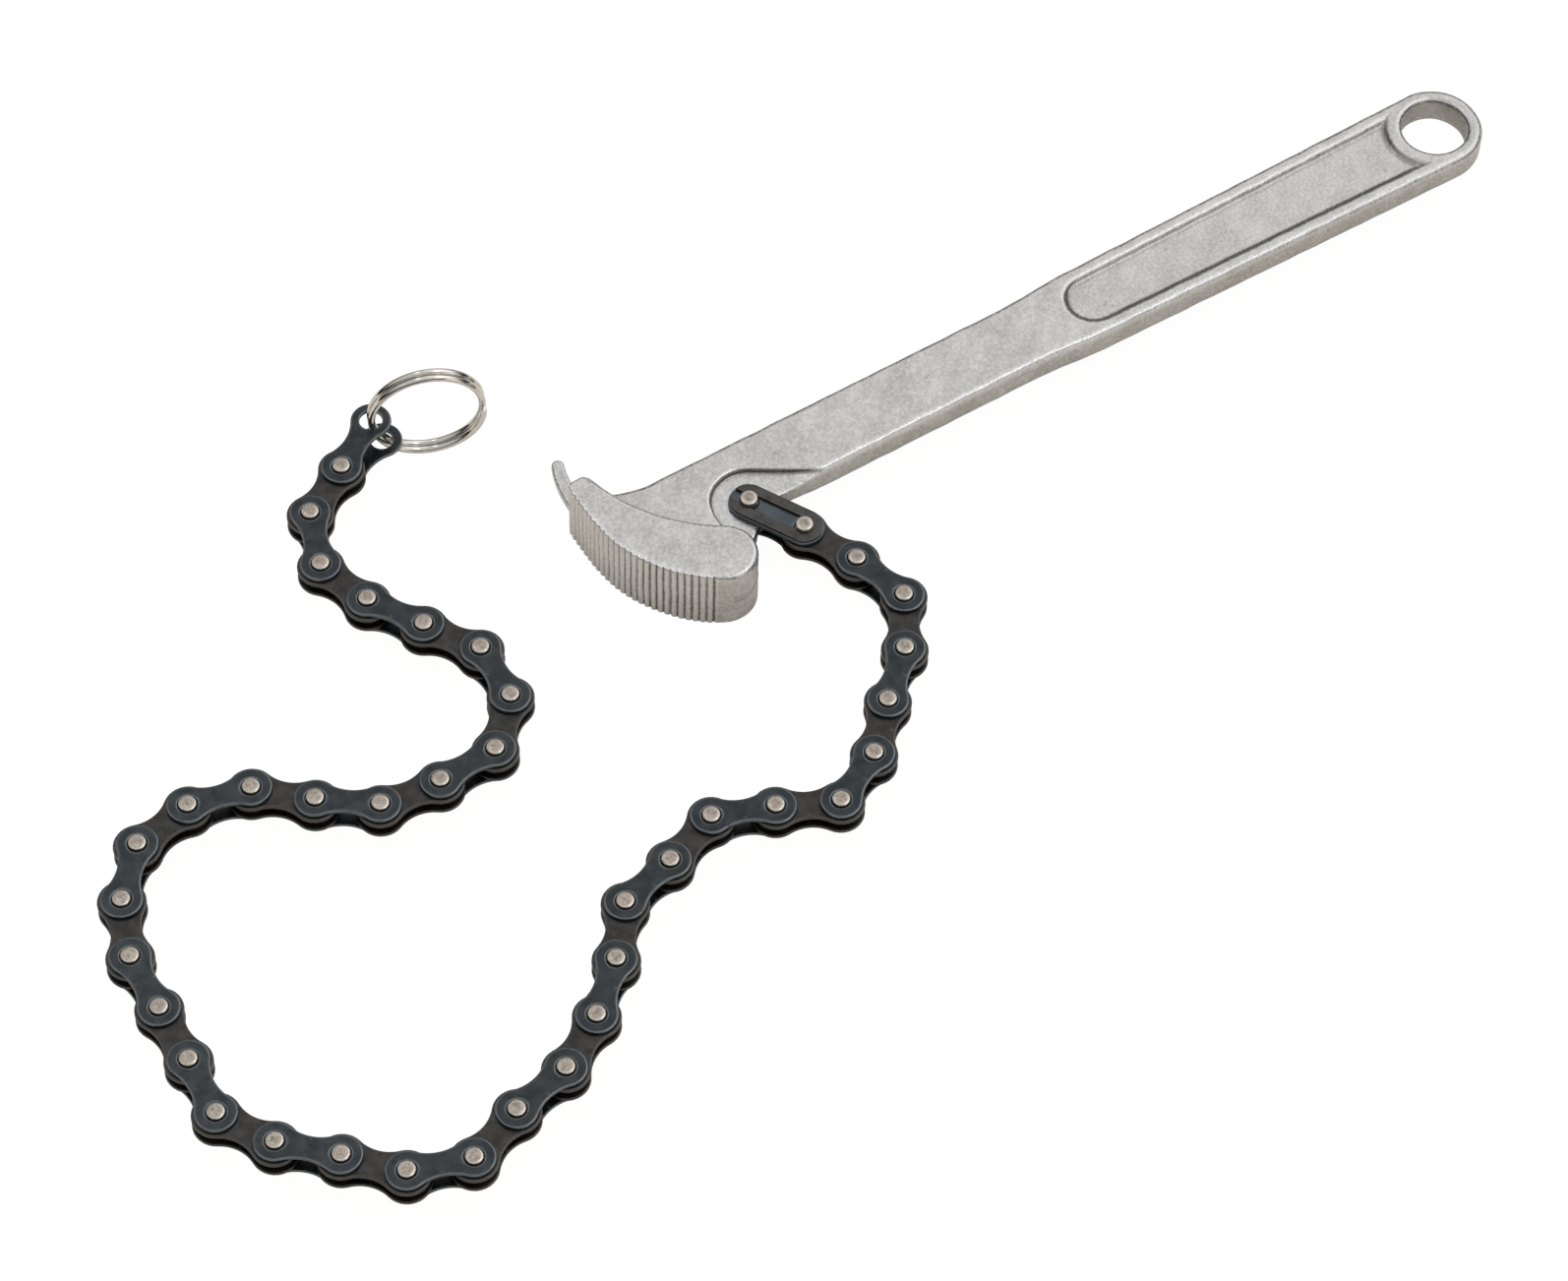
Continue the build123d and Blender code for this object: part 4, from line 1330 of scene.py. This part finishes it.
@dataclass
class ConnectingLink:
    """The link at the handle: a pin plate with long grooved pins, a cover plate and a spring clip."""

    chain: Chain
    place: Place
    body: str = "connecting_link"
    long_top: float = 4.41
    groove: float = 1.35
    clip_low: float = 2.94
    clip_high: float = 3.54
    clip_radius: float = 3.85
    clip_grip: float = 1.40
    clip_window: float = 1.65
    clip_split: float = 1.12
    clip_round: float = 0.14
    clip_play: float = 0.05
    clip_corner: float = 1.3

    def add_long_pin(self, shell: Shell, x: float) -> None:
        """A pin with a peened lower end and a groove near its upper end for the clip.

        Args:
            shell: Where the surface goes.
            x: The pin's place along the link.
        """
        chain = self.chain
        low = (chain.head(chain.pin_top) * [1, -1])[::-1]
        groove_low, groove_high = self.clip_low - self.clip_play, self.clip_high + self.clip_play
        neck = [
            (chain.pin_radius, groove_low), (self.groove, groove_low),
            (self.groove, groove_high), (chain.pin_radius, groove_high),
        ]
        steps = [(1, 0.5), (1, 0.3), (0.93, 0.1), (0.84, 0.02), (0.45, 0), (0, 0)]
        top = [(share * chain.pin_radius, self.long_top - fall) for share, fall in steps]
        profile = np.concatenate([low, neck, top])
        shell.add_grid(lathe(profile, 28) + np.array([x, 0, 0]), wrap=True)

    def clip_sides(self) -> tuple[Array, Array]:
        """The clip's inner and outer lines, from its split end round to the far end's middle.

        Returns:
            The two lines, with as many points each.
        """
        pitch, grip, radius = self.chain.pitch, self.clip_grip, self.clip_radius
        split = math.degrees(math.asin(self.clip_split / grip))
        outer_split = math.degrees(math.asin(self.clip_split / radius))
        corner = np.array([self.clip_corner, self.clip_window])
        inner = np.concatenate([
            arc((0, 0), grip, 180 - split, 60, 11),
            np.linspace(corner, (pitch - corner[0], corner[1]), 8),
            arc((pitch, 0), grip, 120, 0, 15),
        ])
        outer = np.concatenate([
            arc((0, 0), radius, 180 - outer_split, 90, 12),
            np.linspace((0, radius), (pitch, radius), 8)[1:-1],
            arc((pitch, 0), radius, 90, 0, 16),
        ])
        return inner, outer

    def add_clip(self, shell: Shell) -> None:
        """Each half of the clip: a rounded rectangle ruled between its inner and outer lines.

        Args:
            shell: Where the surfaces go.
        """
        inner, outer = self.clip_sides()
        span = outer - inner
        width = np.hypot(*span.T)[:, None]
        corner, low, high = self.clip_round, self.clip_low, self.clip_high
        bend = BEND * corner
        share, offset, height = np.array([
            (0, corner, high), (1, -corner, high), (1, -bend, high - bend), (1, 0, high - corner),
            (1, 0, low + corner), (1, -bend, low + bend), (1, -corner, low), (0, corner, low),
            (0, bend, low + bend), (0, 0, low + corner), (0, 0, high - corner),
            (0, bend, high - bend),
        ]).T
        away = share * width + offset
        flat = inner[:, None, :] + away[..., None] * (span / width)[:, None, :]
        level = np.broadcast_to(height[None, :, None], (*away.shape, 1))
        grid = np.concatenate([flat, level], axis=-1)
        for side in (1, -1):
            half = grid * [1, side, 1]
            shell.add_grid(half, wrap=True)
            shell.add_cap(half[0])

    def build(self) -> None:
        """Make the connecting link's five pieces and give them their finishes."""
        chain = self.chain
        plate, pins, cover, clip = Shell(), Shell(), Shell(), Shell()
        chain.outer_plate().add(plate, chain.outer_base, Height.LOWER)
        for x in (0, chain.pitch):
            self.add_long_pin(pins, x)
        flat = Plate(chain.plate_end, chain.plate_end, (chain.pin_hole, chain.pin_hole), Flank.STRAIGHT)
        flat.add(cover, chain.outer_base, Height.UPPER)
        self.add_clip(clip)
        lower = plate.make("connecting_lower_plate", self.place)
        dress(lower, BLUED_PLATE, self.body, "outer_plate_steel", "connecting_pin_plate")
        dress(pins.make("connecting_long_pins", self.place), PEENED_PIN, self.body, "pin_steel")
        upper = cover.make("connecting_upper_plate", self.place)
        dress(upper, COVER_PLATE, self.body, "outer_plate_steel", "connecting_cover_plate")
        hairpin = clip.make("hairpin_spring_clip", self.place, edge=0.2)
        dress(hairpin, CLIP_STEEL, self.body, "clip_steel", "spring_clip")


@dataclass
class EndLink:
    """The last two plates, spread on their pin, with larger outer holes for the ring."""

    chain: Chain
    place: Place
    body: str = "end_link"
    twist: float = 5.5
    ring_hole: float = 2.35

    def build(self) -> None:
        """Make the two plates and the pin and give them their finishes."""
        for height, node in zip(Height, ("end_plate_upper", "end_plate_lower")):
            shell = Shell()
            plate = replace(self.chain.outer_plate(), holes=(self.chain.pin_hole, self.ring_hole))
            plate.add(shell, self.chain.outer_base, height)
            spot = Place(self.place.x, self.place.y, self.place.heading + height.value * self.twist)
            dress(shell.make(node + "_stamped", spot), BLUED_PLATE, self.body, "outer_plate_steel", node)
        pin = Shell()
        self.chain.add_pin(pin, 0)
        dress(pin.make("end_pin_peened", self.place), PEENED_PIN, self.body, "pin_steel", "end_pin")


@dataclass
class SplitRing:
    """Two turns of wire standing on edge through the end link's holes."""

    centre: tuple[float, float, float]
    direction: float
    radius: float = 11.4
    wire: float = 1.5
    rise: float = 1.55
    turns: int = 2
    tip_share: float = 0.86

    def build(self) -> None:
        """Carry a circle along a helix, a little smaller at its ends, close the ends and plate it."""
        turn = np.linspace(0, 2 * np.pi * self.turns, 181)
        climb = self.rise / (2 * np.pi)
        outward = np.stack([np.cos(turn), np.sin(turn), 0 * turn], axis=1)
        path = self.radius * outward
        path[:, 2] = climb * turn - self.rise * self.turns / 2
        ahead = np.stack([-np.sin(turn), np.cos(turn), 0 * turn + climb / self.radius], axis=1)
        ahead /= np.linalg.norm(ahead, axis=1)[:, None]
        upward = np.cross(ahead, outward)
        share = np.ones_like(turn)
        share[[0, -1]] = self.tip_share
        angle = np.linspace(0, 2 * np.pi, 16, endpoint=False)[None, :, None]
        thick = (self.wire / 2 * share)[:, None, None]
        across = np.cos(angle) * outward[:, None] + np.sin(angle) * upward[:, None]
        grid = self.stand(path[:, None] + thick * across)
        shell = Shell()
        shell.add_grid(grid, wrap=True)
        shell.add_cap(grid[0])
        shell.add_cap(grid[-1])
        piece = shell.make("wire_split_ring", edge=4.0)
        dress(piece, BRIGHT_WIRE, "split_ring", "ring_wire", "split_ring")

    def stand(self, points: Array) -> Array:
        """Stand the flat coil on edge, turn it to its direction and move it to its centre.

        Args:
            points: Points of the coil, lying flat at the origin.

        Returns:
            The points in place.
        """
        x, y, z = points[..., 0], -points[..., 2], points[..., 1]
        turn = math.radians(self.direction)
        cos, sin = math.cos(turn), math.sin(turn)
        return np.stack([cos * x - sin * y, sin * x + cos * y, z], axis=-1) + np.array(self.centre)


@dataclass(frozen=True)
class Lamp:
    """A square softbox that faces the wrench's middle, in metres and watts."""

    name: str
    spot: tuple[float, float, float]
    size: float
    power: float
    mirrored: bool = True


LAMPS = (
    Lamp("overhead_softbox", (-0.25, 0.25, 1.0), 0.9, 7.0, mirrored=False),
    Lamp("front_softbox", (0.2, -1.16, 0.2), 0.5, 1.1),
    Lamp("glint_lamp", (-0.20, 0.55, 1.16), 0.2, 0.5),
    Lamp("edge_softbox", (0.25, -0.42, 1.1), 0.25, 0.8),
)


@dataclass
class Studio:
    """A pale floor, a plain white surround, soft lamps and the camera."""

    floor_height: float = -8.0
    floor_half: float = 4000.0
    floor_tone: str = "#E6E0D8"
    floor_glow: float = 1.07
    floor_share: float = 0.9
    horizon: tuple[float, ...] = (0.14, 0.76, 0.03, 1.0)
    sideways: tuple[float, ...] = (0.05, 0.65, 0.8, 1.7)
    ambient: float = 0.55
    middle: tuple[float, float, float] = (-0.17, -0.03, 0.0)
    focal_length: float = 124.55
    camera_spot: tuple[float, float, float] = (-0.5156, -0.5322, 0.89235)
    camera_aim: tuple[float, float, float] = (0.3080, 0.4618, -0.8318)
    camera_roll: float = 1.844

    def build(self) -> None:
        """Set up everything that isn't the wrench."""
        self.add_floor()
        self.add_world()
        for lamp in LAMPS:
            self.add_lamp(lamp)
        self.add_camera()

    def add_floor(self) -> None:
        """A white table whose own shade shows only where the wrench keeps the light off it."""
        half, level = self.floor_half * MM, self.floor_height * MM
        mesh = bpy.data.meshes.new("studio_floor")
        corners = [(-half, -half, level), (half, -half, level), (half, half, level), (-half, half, level)]
        mesh.from_pydata(corners, [], [(0, 1, 2, 3)])
        material = bpy.data.materials.new("white table paper")
        tree = blank_tree(material)
        camera = add_node(tree, "ShaderNodeLightPath", [], "Is Camera Ray")
        matt = add_node(tree, "ShaderNodeBsdfDiffuse", {"Color": linear(self.floor_tone)})
        glow = {"Color": linear("#FFFFFF"), "Strength": self.floor_glow}
        white = add_node(tree, "ShaderNodeEmission", glow)
        share = add_node(tree, "ShaderNodeMath", [camera, self.floor_share], operation="MULTIPLY")
        mixed = add_node(tree, "ShaderNodeMixShader", [share, matt, white])
        add_node(tree, "ShaderNodeOutputMaterial", {"Surface": mixed})
        mesh.materials.append(material)
        new_object("studio_floor", mesh)

    def add_world(self) -> None:
        """A white surround for what is seen, darker near the horizon in reflections, dim as a light.

        The strength is 1 for camera and transmission rays, a smooth step of the height times a ramp
        towards +X for glossy ones, and one low value for the rest.
        """
        world = bpy.data.worlds.new("white studio")
        tree = blank_tree(world)
        facing = add_node(tree, "ShaderNodeTexCoord", [], "Generated")
        right, height = [
            add_node(tree, "ShaderNodeSeparateXYZ", [facing], axis) for axis in ("X", "Z")
        ]
        sky = add_node(tree, "ShaderNodeMapRange", [height, *self.horizon], interpolation_type="SMOOTHSTEP")
        side = add_node(tree, "ShaderNodeMapRange", [right, *self.sideways])
        sky = add_node(tree, "ShaderNodeMath", [sky, side], operation="MULTIPLY")
        camera, glass, glossy = [
            add_node(tree, "ShaderNodeLightPath", [], f"Is {kind} Ray")
            for kind in ("Camera", "Transmission", "Glossy")
        ]
        plain = add_node(tree, "ShaderNodeMath", [camera, glass], operation="MAXIMUM")
        seen = add_node(tree, "ShaderNodeMath", [plain, glossy], operation="MAXIMUM")
        strength = add_node(tree, "ShaderNodeMix", {0: plain, 2: sky, 3: 1.0})
        strength = add_node(tree, "ShaderNodeMix", {0: seen, 2: self.ambient, 3: strength})
        back = add_node(tree, "ShaderNodeBackground", {"Color": linear("#FFFFFF"), "Strength": strength})
        add_node(tree, "ShaderNodeOutputWorld", {"Surface": back})
        bpy.context.scene.world = world

    def add_lamp(self, lamp: Lamp) -> None:
        """Hang a softbox and turn it to the wrench's middle.

        Args:
            lamp: The softbox.
        """
        light = bpy.data.lights.new(lamp.name, "AREA")
        light.shape = "SQUARE"
        light.size = lamp.size
        light.energy = lamp.power
        hung = new_object(lamp.name, light)
        hung.visible_glossy = lamp.mirrored
        spot = np.array(lamp.spot)
        hung.matrix_world = self.aimed(spot, self.middle - spot, 0.0)

    @staticmethod
    def aimed(spot: Array, forward: Array, roll: float) -> Matrix:
        """A matrix that looks along a direction from a spot, level but for a roll.

        Args:
            spot: Where it stands.
            forward: The direction.
            roll: Degrees about it.

        Returns:
            The matrix.
        """
        forward = forward / np.linalg.norm(forward)
        right = np.cross(forward, [0, 0, 1])
        right /= np.linalg.norm(right)
        up = np.cross(right, forward)
        turn = math.radians(roll)
        turned = math.cos(turn) * right + math.sin(turn) * up
        upright = math.cos(turn) * up - math.sin(turn) * right
        columns = np.stack([turned, upright, -forward, spot], axis=1)
        return Matrix([*columns.tolist(), [0, 0, 0, 1]])

    def add_camera(self) -> None:
        """The photograph's view, found from the chain's pins: a long lens, high on the left."""
        data = bpy.data.cameras.new("photo_camera")
        data.sensor_fit = "HORIZONTAL"
        data.sensor_width = 36.0
        data.lens = self.focal_length
        data.clip_start = 0.05
        data.clip_end = 50.0
        camera = new_object("photo_camera", data)
        spot, aim = np.array(self.camera_spot), np.array(self.camera_aim)
        camera.matrix_world = self.aimed(spot, aim, self.camera_roll)
        bpy.context.scene.camera = camera


def chain_places() -> list[Place]:
    """Where each link lies: its first pin and the heading to the next, read from the frame's joints."""
    spots = [np.array(joint["pos_m"][:2]) / MM for joint in frame["joints"]]
    return [Place(*near, bearing(far - near)) for near, far in zip(spots, spots[1:])]


def ring_place() -> SplitRing:
    """The split ring in the middle of its CAD solid's box, turned as the photo shows it."""
    middle = [(low + high) / 2 / MM for low, high in zip(*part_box("split_ring"))]
    return SplitRing(tuple(middle), RING_DIRECTION)


def main() -> None:
    """Build every piece in order, then the studio."""
    logging.basicConfig(level=logging.INFO, format="%(message)s")
    Forging().build()
    chain = Chain()
    places = chain_places()
    ConnectingLink(chain, places[0]).build()
    for number, place in enumerate(places[1:-1], start=1):
        kind = InnerLink if number % 2 else OuterLink
        name = f"inner_link_{(number + 1) // 2:02d}" if number % 2 else f"outer_link_{number // 2:02d}"
        kind(chain, name, place).build()
    EndLink(chain, places[-1]).build()
    ring_place().build()
    Studio().build()
    bpy.context.scene.view_settings.view_transform = "Standard"


if __name__ == "__main__":
    main()
